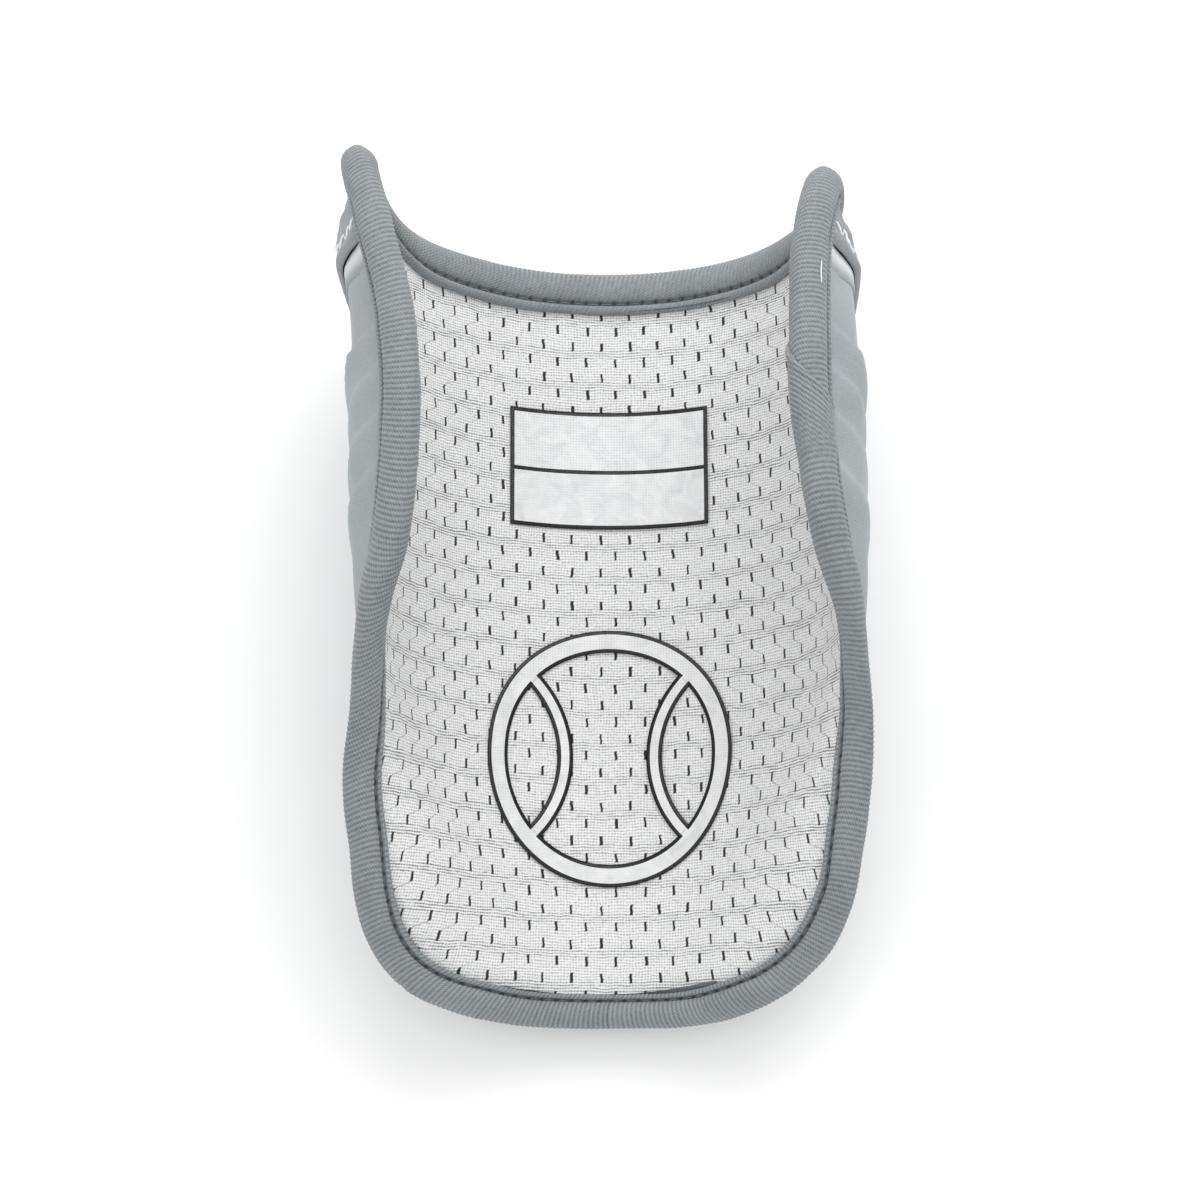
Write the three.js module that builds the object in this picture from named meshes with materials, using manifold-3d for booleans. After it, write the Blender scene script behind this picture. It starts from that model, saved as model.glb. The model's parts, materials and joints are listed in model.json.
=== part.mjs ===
// A batter's elbow guard, lying on its padded back with the arm hollow facing up. Millimetres, +Z up.
// +Y runs up the arm, from the round forearm end to the two horns that clasp the upper arm.
//
// Every piece is drawn on one flat pattern, the lining's face laid out flat: girth is the distance
// from the spine round the arm, along is the distance up the arm. place() then rolls the pattern
// round the arm, and depth counts outwards from the lining's face through the wall.

import * as THREE from "three";
import { mergeVertices } from "three/addons/utils/BufferGeometryUtils.js";
import Module from "manifold-3d";

// Driving sizes of the pattern
const guardLength = 180; // forearm end to upper edge, at the spine
const halfGirth = 105; // spine to the widest point of a free edge
const armRadius = 49; // inside radius round the upper arm
const lipRoll = 20; // radius that the forearm rim rolls outwards on

// Walls
const liningThickness = 1.0;
const liningPinch = 0.4; // how far the sewn tape presses the lining in at its edge
const wallThickness = 7.2; // lining and padded shell together
const edgeThickness = 3.4; // the same, pinched inside the binding
const pinchWidth = 10; // run from the pinched edge to the full wall
const domeRise = 3.6; // extra padding over the elbow's point
const domeLength = 30;
const domeWidth = 30;
const domePlace = 0.3; // up the arm, as a share of guardLength
const pressedFlat = 1.4; // how far that padding is flattened where the guard lies on it
const clearance = 0.3; // between pieces that touch

// Binding tape round the whole edge
const tapeThickness = 1.2;
const tapeSlack = 0.45; // further gap between the tape and the uneven wall
const bindingCover = 5.4; // tape over each face, from the shell's edge to the bead
const beadWidth = 1.9; // turned-in lip beyond the row of stitches
const beadRise = 0.35; // bead and roll above the stitched groove
const crestPlace = 0.35; // where each leg swells most, as a share of bindingCover
const foldFlatness = 0.95; // the fold's reach as a share of a round one's
const ringInset = bindingCover + 1.2; // where the wall starts to thicken
const lapLength = 20; // where the tape's end lies over its start
const lapSlant = 20; // how far its cut end slants, from the hollow's side to the back
const lapThickness = 0.8;

// Strap yoke over the back of the upper arm
const yokeThickness = 1.3;
const yokeSeat = 0.9; // gap over the shell's uneven padding
const yokeLift = 0.6; // further gap under its lower lip at the wings, for a strap
const yokeDrop = 52; // upper edge to the lip at the spine
const yokeWingDrop = 7.5; // upper edge to the lip at the wings
const yokeCurve = 1.5; // power of the girth that its lip rises with
const liftRun = 30; // how far above the lip the further gap closes
const liftStart = 25; // girths between which it opens
const liftFull = 75;
const facingThickness = 0.5;
const facingReach = 7.5; // how far the white facing shows below the lip
const facingTuck = 0.6; // how far it lies under the lip
const facingRun = 24; // its length round the arm

// Moulded ribs on the back, parallel to the yoke's lip
const ribWidth = 6;
const ribRise = 0.85; // above the shell's outer face
const ribSink = 0.35; // how far their feet are sunk into the shell
const ribStart = 25; // first rib below the yoke's lip
const ribPitch = 10;
const ribCount = 4;

// Films printed on the lining
const filmThickness = 0.4;
const filmGap = 0.4; // between a film and the uneven lining
const labelWidth = 48.5;
const labelHeight = 28.5;
const labelPlace = 0.717; // its centre up the arm, as a share of guardLength
const emblemDiameter = 60;
const emblemBand = 5.2;
const seamBand = 3.7;
const seamSpread = 1.42; // a seam's centre from the ball's, as a share of the ring's inner radius
const emblemPlace = 0.336; // its centre up the arm, as a share of guardLength

// Cells of the sheets
const gridAcross = 28;
const gridUp = 22;
const yokeCells = [26, 7];
const ribCells = 20;

const wasm = await Module();
wasm.setup();

// Sections up the arm. along, rise: shares of guardLength; radius: share of armRadius; steepest: the
// wall's greatest slope in degrees; roll: run of the outward roll as a share of lipRoll; ease: its
// radius as a share of lipRoll. rise lifts the spine. lean: sideways lean for each mm of height,
// because the worn shape isn't quite even.
const sections = [
  { along: -0.1, radius: 1.4, steepest: 24, roll: 0, ease: 2.5, rise: 0.02, lean: -0.065 },
  { along: 0.0, radius: 1.15, steepest: 26, roll: 0, ease: 2.5, rise: 0.009, lean: -0.065 },
  { along: 0.06, radius: 0.66, steepest: 34, roll: 1.0, ease: 2.5, rise: 0.002, lean: -0.05 },
  { along: 0.15, radius: 0.7, steepest: 47, roll: 0.95, ease: 1.9, rise: 0, lean: -0.02 },
  { along: 0.27, radius: 0.885, steepest: 60, roll: 0.8, ease: 1.5, rise: 0, lean: -0.015 },
  { along: 0.35, radius: 0.955, steepest: 71, roll: 0.5, ease: 1.5, rise: 0, lean: 0.006 },
  { along: 0.43, radius: 0.99, steepest: 84, roll: 0.1, ease: 1.5, rise: 0, lean: 0.004 },
  { along: 0.5, radius: 0.992, steepest: 100, roll: 0, ease: 1.0, rise: 0, lean: 0.002 },
  { along: 0.6, radius: 0.988, steepest: 140, roll: 0, ease: 1.0, rise: 0, lean: -0.005 },
  { along: 0.8, radius: 0.99, steepest: 140, roll: 0, ease: 1.0, rise: 0.001, lean: -0.024 },
  { along: 0.9, radius: 1.0, steepest: 140, roll: 0, ease: 1.0, rise: 0.002, lean: -0.05 },
  { along: 1.1, radius: 1.04, steepest: 140, roll: 0, ease: 1.0, rise: 0.004, lean: -0.085 },
];

// The pattern's edge from the forearm end up to the upper edge's middle. girth and along are shares
// of halfGirth and guardLength; leftLift raises the row on the left, whose horn stands higher and
// whose forearm corner lies lower.
const edge = [
  { name: "end", girth: 0, along: 0.008, leftLift: 0 },
  { name: "end_side", girth: 0.25, along: 0.016, leftLift: -0.002 },
  { name: "corner", girth: 0.425, along: 0.053, leftLift: -0.011 },
  { name: "forearm", girth: 0.566, along: 0.127, leftLift: -0.011 },
  { name: "forearm_side", girth: 0.641, along: 0.218, leftLift: -0.005 },
  { name: "flare", girth: 0.702, along: 0.304, leftLift: 0 },
  { name: "elbow", girth: 0.764, along: 0.37, leftLift: 0 },
  { name: "elbow_upper", girth: 0.885, along: 0.485, leftLift: 0 },
  { name: "wing", girth: 0.955, along: 0.585, leftLift: 0 },
  { name: "wing_middle", girth: 0.985, along: 0.72, leftLift: 0 },
  { name: "wing_upper", girth: 0.958, along: 0.85, leftLift: 0 },
  { name: "horn_front", girth: 0.895, along: 0.955, leftLift: 0.018 },
  { name: "horn", girth: 0.82, along: 0.998, leftLift: 0.028 },
  { name: "horn_back", girth: 0.725, along: 0.994, leftLift: 0.02 },
  { name: "shoulder", girth: 0.54, along: 0.983, leftLift: 0.003 },
  { name: "upper_side", girth: 0.27, along: 0.976, leftLift: 0 },
  { name: "upper_middle", girth: 0, along: 0.974, leftLift: 0 },
];

const toRadians = THREE.MathUtils.degToRad;
const { smoothstep, clamp, lerp } = THREE.MathUtils;

// A column of the section table at any height, with a smooth curve through its rows.
function column(name, share) {
  const last = sections.length - 2;
  let i = sections.findIndex((row) => row.along > share) - 1;
  i = clamp(i < 0 ? (share < sections[0].along ? 0 : last) : i, 0, last);
  const row = (k) => sections[clamp(k, 0, last + 1)];
  const slope = (k) => (row(k + 1)[name] - row(k - 1)[name]) / (row(k + 1).along - row(k - 1).along);
  const gap = row(i + 1).along - row(i).along;
  const t = clamp((share - row(i).along) / gap, 0, 1);
  const rise = row(i + 1)[name] - row(i)[name];
  // Slopes are held to three times the chord's, so that the curve never overshoots a row.
  const way = Math.sign(rise);
  const held = (m) => way * clamp(m * way * gap, 0, 3 * Math.abs(rise));
  const [a, b] = [held(slope(i)), held(slope(i + 1))];
  const t2 = t * t;
  const t3 = t2 * t;
  return row(i)[name] + rise * (3 * t2 - 2 * t3) + a * (t3 - 2 * t2 + t) + b * (t3 - t2);
}

// The pattern's edge as a closed curve, counter-clockwise from the forearm end. A place on it is a
// share of its whole length, from 0 to 1.
const rightRows = edge.map((row) => ({ name: row.name + "_right", girth: row.girth, along: row.along }));
const leftRows = edge
  .slice(1, -1)
  .reverse()
  .map((row) => ({ name: row.name + "_left", girth: -row.girth, along: row.along + row.leftLift }));
const edgeRows = [...rightRows, ...leftRows];
const edgeCurve = new THREE.CatmullRomCurve3(
  edgeRows.map(({ girth, along }) => new THREE.Vector3(girth * halfGirth, along * guardLength, 0)),
  true,
  "centripetal",
);
const stepsPerRow = 60;
edgeCurve.arcLengthDivisions = stepsPerRow * edgeRows.length;
function edgeAt(name) {
  const lengths = edgeCurve.getLengths();
  return lengths[stepsPerRow * edgeRows.findIndex((row) => row.name === name)] / lengths.at(-1);
}

// A point of the edge, moved inwards over the pattern by inset.
function edgePoint(at, inset = 0) {
  const share = at - Math.floor(at);
  const point = edgeCurve.getPointAt(share);
  const tangent = edgeCurve.getTangentAt(share);
  return new THREE.Vector2(point.x - tangent.y * inset, point.y + tangent.x * inset);
}
const edgeStretch = (from, to, inset) => (share) => edgePoint(lerp(from, to, share), inset);

// A function of a share from 0 to 1 that walks a row of points at an even pace.
function evenly(points) {
  const lengths = [0];
  for (let i = 1; i < points.length; i++) lengths.push(lengths[i - 1] + points[i].distanceTo(points[i - 1]));
  return (share) => {
    const wanted = clamp(share, 0, 1) * lengths.at(-1);
    const i = clamp(lengths.findIndex((length) => length >= wanted), 1, points.length - 1);
    const t = (wanted - lengths[i - 1]) / (lengths[i] - lengths[i - 1]);
    return points[i - 1].clone().lerp(points[i], t);
  };
}

const edgePolygon = Array.from({ length: 360 }, (_, i) => edgePoint(i / 360));

// Distance from a point of the pattern to its edge.
function distanceToEdge(girth, along) {
  let nearest = Infinity;
  edgePolygon.forEach((a, i) => {
    const b = edgePolygon[(i + 1) % edgePolygon.length];
    const [x, y] = [b.x - a.x, b.y - a.y];
    const t = clamp(((girth - a.x) * x + (along - a.y) * y) / (x * x + y * y), 0, 1);
    nearest = Math.min(nearest, Math.hypot(girth - a.x - t * x, along - a.y - t * y));
  });
  return nearest;
}

// Half girth of the pattern at a height, for the roll of the forearm rim.
const rimRows = edge.slice(0, 10);
function rimGirth(share) {
  const i = clamp(rimRows.findIndex((row) => row.along > share), 1, rimRows.length - 1);
  const [a, b] = [rimRows[i - 1], rimRows[i]];
  return lerp(a.girth, b.girth, clamp((share - a.along) / (b.along - a.along), 0, 1)) * halfGirth;
}

// Rolls a point of the pattern round the arm: an arc, a straight run, and an outward roll at the rim.
// The roll fades out round the forearm end. Nothing reaches below the ground.
const spineHeight = wallThickness + domeRise - pressedFlat;
const rollFade = [0.25, 0.42]; // half girths where the roll begins and is full, as shares of halfGirth
function place(girth, along, depth) {
  const share = along / guardLength;
  const radius = column("radius", share) * armRadius;
  const rollRun = column("roll", share) * lipRoll * smoothstep(rimGirth(share) / halfGirth, ...rollFade);
  const rollRadius = column("ease", share) * lipRoll;
  const reach = Math.abs(girth);
  const rollStart = rollRun > 0.01 ? Math.max(rimGirth(share) - rollRun, 0) : Infinity;
  const arcEnd = Math.min(radius * toRadians(column("steepest", share)), rollStart);
  const arcTurn = Math.min(reach, arcEnd) / radius;
  const straight = clamp(reach - arcEnd, 0, Math.max(rollStart - arcEnd, 0));
  const turnBack = Math.max(reach - Math.max(rollStart, arcEnd), 0) / rollRadius;
  const turn = arcTurn - turnBack;
  const across =
    radius * Math.sin(arcTurn) +
    straight * Math.cos(arcTurn) +
    rollRadius * (Math.sin(arcTurn) - Math.sin(turn));
  const height =
    radius * (1 - Math.cos(arcTurn)) +
    straight * Math.sin(arcTurn) +
    rollRadius * (Math.cos(turn) - Math.cos(arcTurn));
  return new THREE.Vector3(
    Math.sign(girth) * (across + depth * Math.sin(turn)) + height * column("lean", share),
    along,
    Math.max(spineHeight + column("rise", share) * guardLength + height - depth * Math.cos(turn), 0),
  );
}

// Depth of the shell's outer face: pinched at the edge, full inside it, thicker over the elbow.
function outerDepth(girth, along) {
  const inside = smoothstep(distanceToEdge(girth, along) - ringInset, 0, pinchWidth);
  const dome = Math.exp(-((girth / domeWidth) ** 2) - ((along - domePlace * guardLength) / domeLength) ** 2);
  return lerp(edgeThickness, wallThickness, inside) + domeRise * dome * inside;
}

// Depth of the lining's face: pressed in along the edge, where the tape is sewn over it.
function liningDepth(girth, along) {
  return liningPinch * (1 - smoothstep(distanceToEdge(girth, along), 0, ringInset));
}

// Moves every vertex of a geometry and leaves a closed, merged surface.
function mapped(geometry, move) {
  const position = geometry.getAttribute("position");
  const from = new THREE.Vector3();
  for (let i = 0; i < position.count; i++) {
    const to = move(from.fromBufferAttribute(position, i));
    position.setXYZ(i, to.x, to.y, to.z);
  }
  geometry.deleteAttribute("normal");
  geometry.deleteAttribute("uv");
  return mergeVertices(geometry, 1e-4);
}

// A point of a pattern bounded by four curves, blended across from side to side.
function blended({ lower, upper, left, right }, u, v) {
  const [a, b, c, d] = [lower(0), lower(1), upper(0), upper(1)];
  return new THREE.Vector2()
    .addScaledVector(lower(u), 1 - v)
    .addScaledVector(upper(u), v)
    .addScaledVector(left(v), 1 - u)
    .addScaledVector(right(v), u)
    .addScaledVector(a, -(1 - u) * (1 - v))
    .addScaledVector(b, -u * (1 - v))
    .addScaledVector(c, -(1 - u) * v)
    .addScaledVector(d, -u * v);
}

// A sheet over a pattern, with its own inner and outer depth.
function sheet(pattern, inner, outer, across, up) {
  return mapped(new THREE.BoxGeometry(1, 1, 1, across, up, 1), (p) => {
    const at = blended(pattern, p.x + 0.5, p.y + 0.5);
    return place(at.x, at.y, p.z > 0 ? inner(at.x, at.y) : outer(at.x, at.y));
  });
}

// The whole pattern, inset from its edge, as four curves.
function wholePattern(inset) {
  const [right, left] = [edgeAt("corner_right"), edgeAt("corner_left")];
  const [hornRight, hornLeft] = [edgeAt("horn_right"), edgeAt("horn_left")];
  return {
    lower: edgeStretch(left - 1, right, inset),
    upper: edgeStretch(hornLeft, hornRight, inset),
    left: edgeStretch(left, hornLeft, inset),
    right: edgeStretch(right, hornRight, inset),
  };
}

// A sheet over the whole pattern, whose outermost cells are as wide as the tape covers. A turned
// sheet has its cells split along the other diagonal, so that its outer face lies true against the
// inner face of a sheet that isn't turned.
function wholeSheet(inner, outer, turned = false) {
  const [rim, inside] = [wholePattern(0), wholePattern(ringInset)];
  const onRing = (index, count) => (index === 1 ? 0 : index === count - 1 ? 1 : index / count);
  const cells = turned ? [gridUp, gridAcross] : [gridAcross, gridUp];
  return mapped(new THREE.BoxGeometry(1, 1, 1, ...cells, 1), (p) => {
    const [x, y] = turned ? [-p.y, p.x] : [p.x, p.y];
    const [i, j] = [Math.round((x + 0.5) * gridAcross), Math.round((y + 0.5) * gridUp)];
    const onRim = i === 0 || j === 0 || i === gridAcross || j === gridUp;
    const at = onRim
      ? blended(rim, i / gridAcross, j / gridUp)
      : blended(inside, onRing(i, gridAcross), onRing(j, gridUp));
    return place(at.x, at.y, p.z > 0 ? inner(at.x, at.y) : outer(at.x, at.y));
  });
}

// Places on the edge of the sheet's rim vertices, in order, which the binding shares.
function rimStations() {
  const [right, left] = [edgeAt("corner_right"), edgeAt("corner_left")];
  const [hornRight, hornLeft] = [edgeAt("horn_right"), edgeAt("horn_left")];
  const run = (from, to, count) => Array.from({ length: count }, (_, i) => lerp(from, to, i / count));
  return [
    ...run(left - 1, right, gridAcross),
    ...run(right, hornRight, gridUp),
    ...run(hornRight, hornLeft, gridAcross),
    ...run(hornLeft, left, gridUp),
  ];
}

// The yoke's lower lip, and every rib below it: a rounded V between the wings.
function chevron(girth, lower) {
  const reach = Math.abs(girth) / halfGirth;
  const drop = lerp(yokeDrop, yokeWingDrop, reach ** yokeCurve);
  return guardLength - drop - lower;
}

// The same line as a walk from the left edge to the right, ending inset from each.
function chevronLine(lower, inset) {
  const step = halfGirth / 1000;
  const reach = (side) => {
    let girth = side * halfGirth * 0.6;
    while (distanceToEdge(girth, chevron(girth, lower)) > inset) girth += side * step;
    return girth;
  };
  const [from, to] = [reach(-1), reach(1)];
  const steps = 60;
  return evenly(
    Array.from({ length: steps + 1 }, (_, i) => {
      const girth = lerp(from, to, i / steps);
      return new THREE.Vector2(girth, chevron(girth, lower));
    }),
  );
}

// Where the edge, moved in by inset, passes nearest to a point of the pattern.
function edgeNear(point, from, to, inset) {
  const steps = 400;
  let best = { at: from, gap: Infinity };
  for (let i = 0; i <= steps; i++) {
    const at = lerp(from, to, i / steps);
    const gap = edgePoint(at, inset).distanceTo(point);
    if (gap < best.gap) best = { at, gap };
  }
  return best.at;
}

function yokePattern() {
  const inset = bindingCover + 2 * clearance;
  const lip = chevronLine(0, inset);
  const [hornRight, hornLeft] = [edgeAt("horn_right"), edgeAt("horn_left")];
  const right = edgeNear(lip(1), edgeAt("elbow_right"), hornRight, inset);
  const left = edgeNear(lip(0), edgeAt("elbow_left"), hornLeft, inset);
  return {
    lower: lip,
    upper: edgeStretch(hornLeft, hornRight, inset),
    left: edgeStretch(left, hornLeft, inset),
    right: edgeStretch(right, hornRight, inset),
  };
}

// Gap under the yoke: widest at the lip beside the wings.
function yokeGap(girth, along) {
  const towardsLip = 1 - smoothstep(along - chevron(girth, 0), 0, liftRun);
  return yokeSeat + yokeLift * towardsLip * smoothstep(Math.abs(girth), liftStart, liftFull);
}
const yokeInner = (girth, along) => outerDepth(girth, along) + yokeGap(girth, along);
const yokeOuter = (girth, along) => yokeInner(girth, along) + yokeThickness;

// The white facing on the shell, a wedge that comes out from under the lip and is widest beside
// the binding.
function facingPattern(side) {
  const inset = bindingCover + 2 * clearance;
  const end = side > 0 ? 1 : 0;
  const [low, high] = [chevronLine(facingReach, inset)(end), chevronLine(-facingTuck, inset)(end)];
  const tip = (lower) => {
    const girth = high.x - side * facingRun;
    return new THREE.Vector2(girth, chevron(girth, lower));
  };
  const row = (outer, inner) => evenly(side > 0 ? [inner, outer] : [outer, inner]);
  const [lower, upper] = [row(low, tip(facingTuck)), row(high, tip(-facingTuck))];
  return { lower, upper, left: evenly([lower(0), upper(0)]), right: evenly([lower(1), upper(1)]) };
}

// A moulded rib: a low crowned bar on the shell's outer face.
function rib(index) {
  const line = chevronLine(ribStart + ribPitch * index, bindingCover + clearance + ribWidth / 2);
  return mapped(new THREE.BoxGeometry(1, 1, 1, ribCells, 2, 1), (p) => {
    const share = p.x + 0.5;
    const at = line(share);
    const ahead = line(share + 0.005).sub(line(share - 0.005)).normalize();
    const [girth, along] = [at.x - ahead.y * p.y * ribWidth, at.y + ahead.x * p.y * ribWidth];
    const crown = p.y === 0 && share > 0 && share < 1 ? ribRise : -ribSink;
    const foot = -ribSink - ribRise;
    return place(girth, along, outerDepth(girth, along) + (p.z > 0 ? foot : crown));
  });
}

// Profile of the binding round the shell's edge, [beyond the edge, depth], from the inner bead round
// the edge to the outer bead, and back along the inside of the fold.
const middle = 0.5 * edgeThickness;
const legDepth = middle + clearance + tapeSlack; // from the wall's middle to the inside of each leg
const foldReach = legDepth + tapeThickness;
const groove = legDepth + tapeThickness - beadRise;
const crest = legDepth + tapeThickness + beadRise;
const foldPoint = (degrees, radius) => [
  Math.sin(toRadians(degrees)) * radius * foldFlatness,
  middle - Math.cos(toRadians(degrees)) * radius,
];
const bindingProfile = [
  [-bindingCover, middle - legDepth],
  [-bindingCover, middle - groove],
  [-bindingCover + beadWidth / 2, middle - crest + beadRise / 2],
  [-bindingCover + beadWidth, middle - groove],
  [-bindingCover * crestPlace, middle - crest],
  foldPoint(35, foldReach),
  foldPoint(90, foldReach),
  foldPoint(145, foldReach),
  [-bindingCover * crestPlace, middle + crest],
  [-bindingCover + beadWidth, middle + groove],
  [-bindingCover, middle + groove],
  [-bindingCover, middle + legDepth],
  [clearance, middle + legDepth],
  [clearance, middle - legDepth],
];

// A point of the binding: over the sheet it follows the outermost cells, beyond it their direction.
function bindingPoint(at, [beyond, depth]) {
  const [rim, inside] = [edgePoint(at), edgePoint(at, ringInset)];
  const onRim = place(rim.x, rim.y, depth);
  if (beyond <= 0) return onRim.lerp(place(inside.x, inside.y, depth), -beyond / ringInset);
  const near = edgePoint(at, 1);
  const outwards = place(rim.x, rim.y, middle).sub(place(near.x, near.y, middle)).normalize();
  return onRim.addScaledVector(outwards, beyond);
}

function bindingGeometry() {
  const stations = rimStations();
  const [steps, sides] = [stations.length, bindingProfile.length];
  const torus = new THREE.TorusGeometry(1, 0.5, sides, steps);
  const uv = torus.getAttribute("uv");
  let vertex = 0;
  return mapped(torus, () => {
    const [round, across] = [Math.round(uv.getX(vertex) * steps), Math.round(uv.getY(vertex) * sides)];
    vertex += 1;
    return bindingPoint(stations[round % steps], bindingProfile[(sides - across) % sides]);
  });
}

// The tape's end, lapped over its start on the right wing, with a slanted upper end.
function lapGeometry() {
  const outline = bindingProfile.slice(3, 10); // from one groove round the fold to the other
  const centre = [-bindingCover * crestPlace, middle];
  const grown = (point, by) => {
    const [x, y] = [point[0] - centre[0], point[1] - centre[1]];
    const growth = 1 + by / Math.hypot(x, y);
    return [centre[0] + x * growth, centre[1] + y * growth];
  };
  const top = edgeAt("wing_middle_right");
  const sharePerLength = 1 / edgeCurve.getLength();
  const last = outline.length - 1;
  return mapped(new THREE.BoxGeometry(1, 1, 1, last, 6, 1), (p) => {
    const round = 0.5 - p.x;
    const slant = (round - 0.5) * lapSlant;
    const back = lerp(slant, lapLength, 0.5 - p.y);
    const point = outline[Math.round(round * last)];
    const away = clearance + (p.z > 0 ? 0 : lapThickness);
    return bindingPoint(top - back * sharePerLength, grown(point, away));
  });
}

// A film cut to a flat shape with holes, laid on the lining.
function film(shape, along) {
  const flat = new THREE.ExtrudeGeometry(shape, { depth: 1, steps: 1, bevelEnabled: false, curveSegments: 10 });
  return mapped(flat, (p) => place(p.x, along + p.y, -filmGap - (p.z > 0.5 ? filmThickness : 0)));
}

function labelGeometry() {
  const row = (offset) => {
    const [x, y] = [labelWidth / 2, labelPlace * guardLength + offset];
    return evenly([new THREE.Vector2(-x, y), new THREE.Vector2(x, y)]);
  };
  const [lower, upper] = [row(-labelHeight / 2), row(labelHeight / 2)];
  const pattern = {
    lower,
    upper,
    left: evenly([lower(0), upper(0)]),
    right: evenly([lower(1), upper(1)]),
  };
  return sheet(pattern, () => -filmGap - filmThickness, () => -filmGap, 12, 2);
}

// A plain ball: a ring with two seam bands that curve away from each other.
function emblemGeometry() {
  const outer = emblemDiameter / 2;
  const inner = outer - emblemBand;
  const ring = new THREE.Shape().absarc(0, 0, outer, 0, 2 * Math.PI, false);
  const seamRadius = inner;
  const seamCentre = inner * seamSpread;
  const seamHalf = seamBand / 2;
  // Where a seam's side of a given radius meets the ring's inner side, as an angle round each centre.
  const meet = (radius) => {
    const x = (inner ** 2 - radius ** 2 + seamCentre ** 2) / (2 * seamCentre);
    const y = Math.sqrt(inner ** 2 - x ** 2);
    return { round: Math.atan2(y, x), seam: Math.atan2(y, seamCentre - x) };
  };
  const [wide, narrow] = [meet(seamRadius + seamHalf), meet(seamRadius - seamHalf)];
  const middleHole = new THREE.Path()
    .absarc(0, 0, inner, wide.round, Math.PI - wide.round, false)
    .absarc(-seamCentre, 0, seamRadius + seamHalf, wide.seam, -wide.seam, true)
    .absarc(0, 0, inner, Math.PI + wide.round, 2 * Math.PI - wide.round, false)
    .absarc(seamCentre, 0, seamRadius + seamHalf, Math.PI + wide.seam, Math.PI - wide.seam, true);
  const sideHole = (turn) =>
    new THREE.Path()
      .absarc(0, 0, inner, turn - narrow.round, turn + narrow.round, false)
      .absarc(
        seamCentre * Math.cos(turn), 0, seamRadius - seamHalf,
        turn + Math.PI - narrow.seam, turn + Math.PI + narrow.seam, false,
      );
  ring.holes.push(middleHole, sideHole(0), sideHole(Math.PI));
  return film(ring, emblemPlace * guardLength);
}

// A closed geometry as a solid, and back.
function solid(geometry) {
  return new wasm.Manifold(
    new wasm.Mesh({
      numProp: 3,
      vertProperties: new Float32Array(geometry.getAttribute("position").array),
      triVerts: new Uint32Array(geometry.index.array),
    }),
  );
}
function geometryOf(body) {
  const { vertProperties, triVerts } = body.getMesh();
  return new THREE.BufferGeometry()
    .setAttribute("position", new THREE.BufferAttribute(vertProperties, 3))
    .setIndex(new THREE.BufferAttribute(triVerts, 1));
}

function shellGeometry() {
  let body = solid(wholeSheet(() => liningThickness + clearance, outerDepth));
  for (let i = 0; i < ribCount; i++) body = body.add(solid(rib(i)));
  return geometryOf(body);
}

// Materials
const cloth = (color, roughness) =>
  new THREE.MeshStandardMaterial({ color, roughness, metalness: 0 });
const shellCloth = cloth(0x9ba1a4, 0.8);
const ribbedTape = cloth(0x858c90, 0.85);
const pinholeMesh = cloth(0xe6e7e8, 0.85);
const whiteTwill = cloth(0xdedfe0, 0.8);
const satinFilm = cloth(0xe2e3e5, 0.5);

const guard = new THREE.Group();
function addPiece(name, geometry, material) {
  const mesh = new THREE.Mesh(geometry, material);
  mesh.name = name;
  guard.add(mesh);
}

addPiece("padded_shell", shellGeometry(), shellCloth);
addPiece("mesh_lining", wholeSheet(liningDepth, () => liningThickness, true), pinholeMesh);
addPiece("edge_binding", bindingGeometry(), ribbedTape);
addPiece("binding_lap", lapGeometry(), ribbedTape);
addPiece("strap_yoke", sheet(yokePattern(), yokeInner, yokeOuter, ...yokeCells), shellCloth);
for (const [name, side] of [["facing_left", -1], ["facing_right", 1]]) {
  const under = (girth, along) => outerDepth(girth, along) + clearance;
  const over = (girth, along) => under(girth, along) + facingThickness;
  addPiece(name, sheet(facingPattern(side), under, over, 6, 2), whiteTwill);
}
addPiece("name_label", labelGeometry(), satinFilm);
addPiece("ball_emblem", emblemGeometry(), satinFilm);

// The frame's origin is on the ground under the middle of the guard.
const box = new THREE.Box3().setFromObject(guard);
guard.position.set(-(box.min.x + box.max.x) / 2, -(box.min.y + box.max.y) / 2, -box.min.z);

export default guard;
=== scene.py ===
"""The looks of a batter's elbow guard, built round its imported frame. Metres, +Z up.

Every piece is drawn on the flat pattern that the solids are drawn on, and place() bends it round
the arm: girth runs round the arm from the spine, along runs up the arm, depth runs outwards from
the lining's face. Pattern lengths are millimetres.
"""

import json
import math

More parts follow.
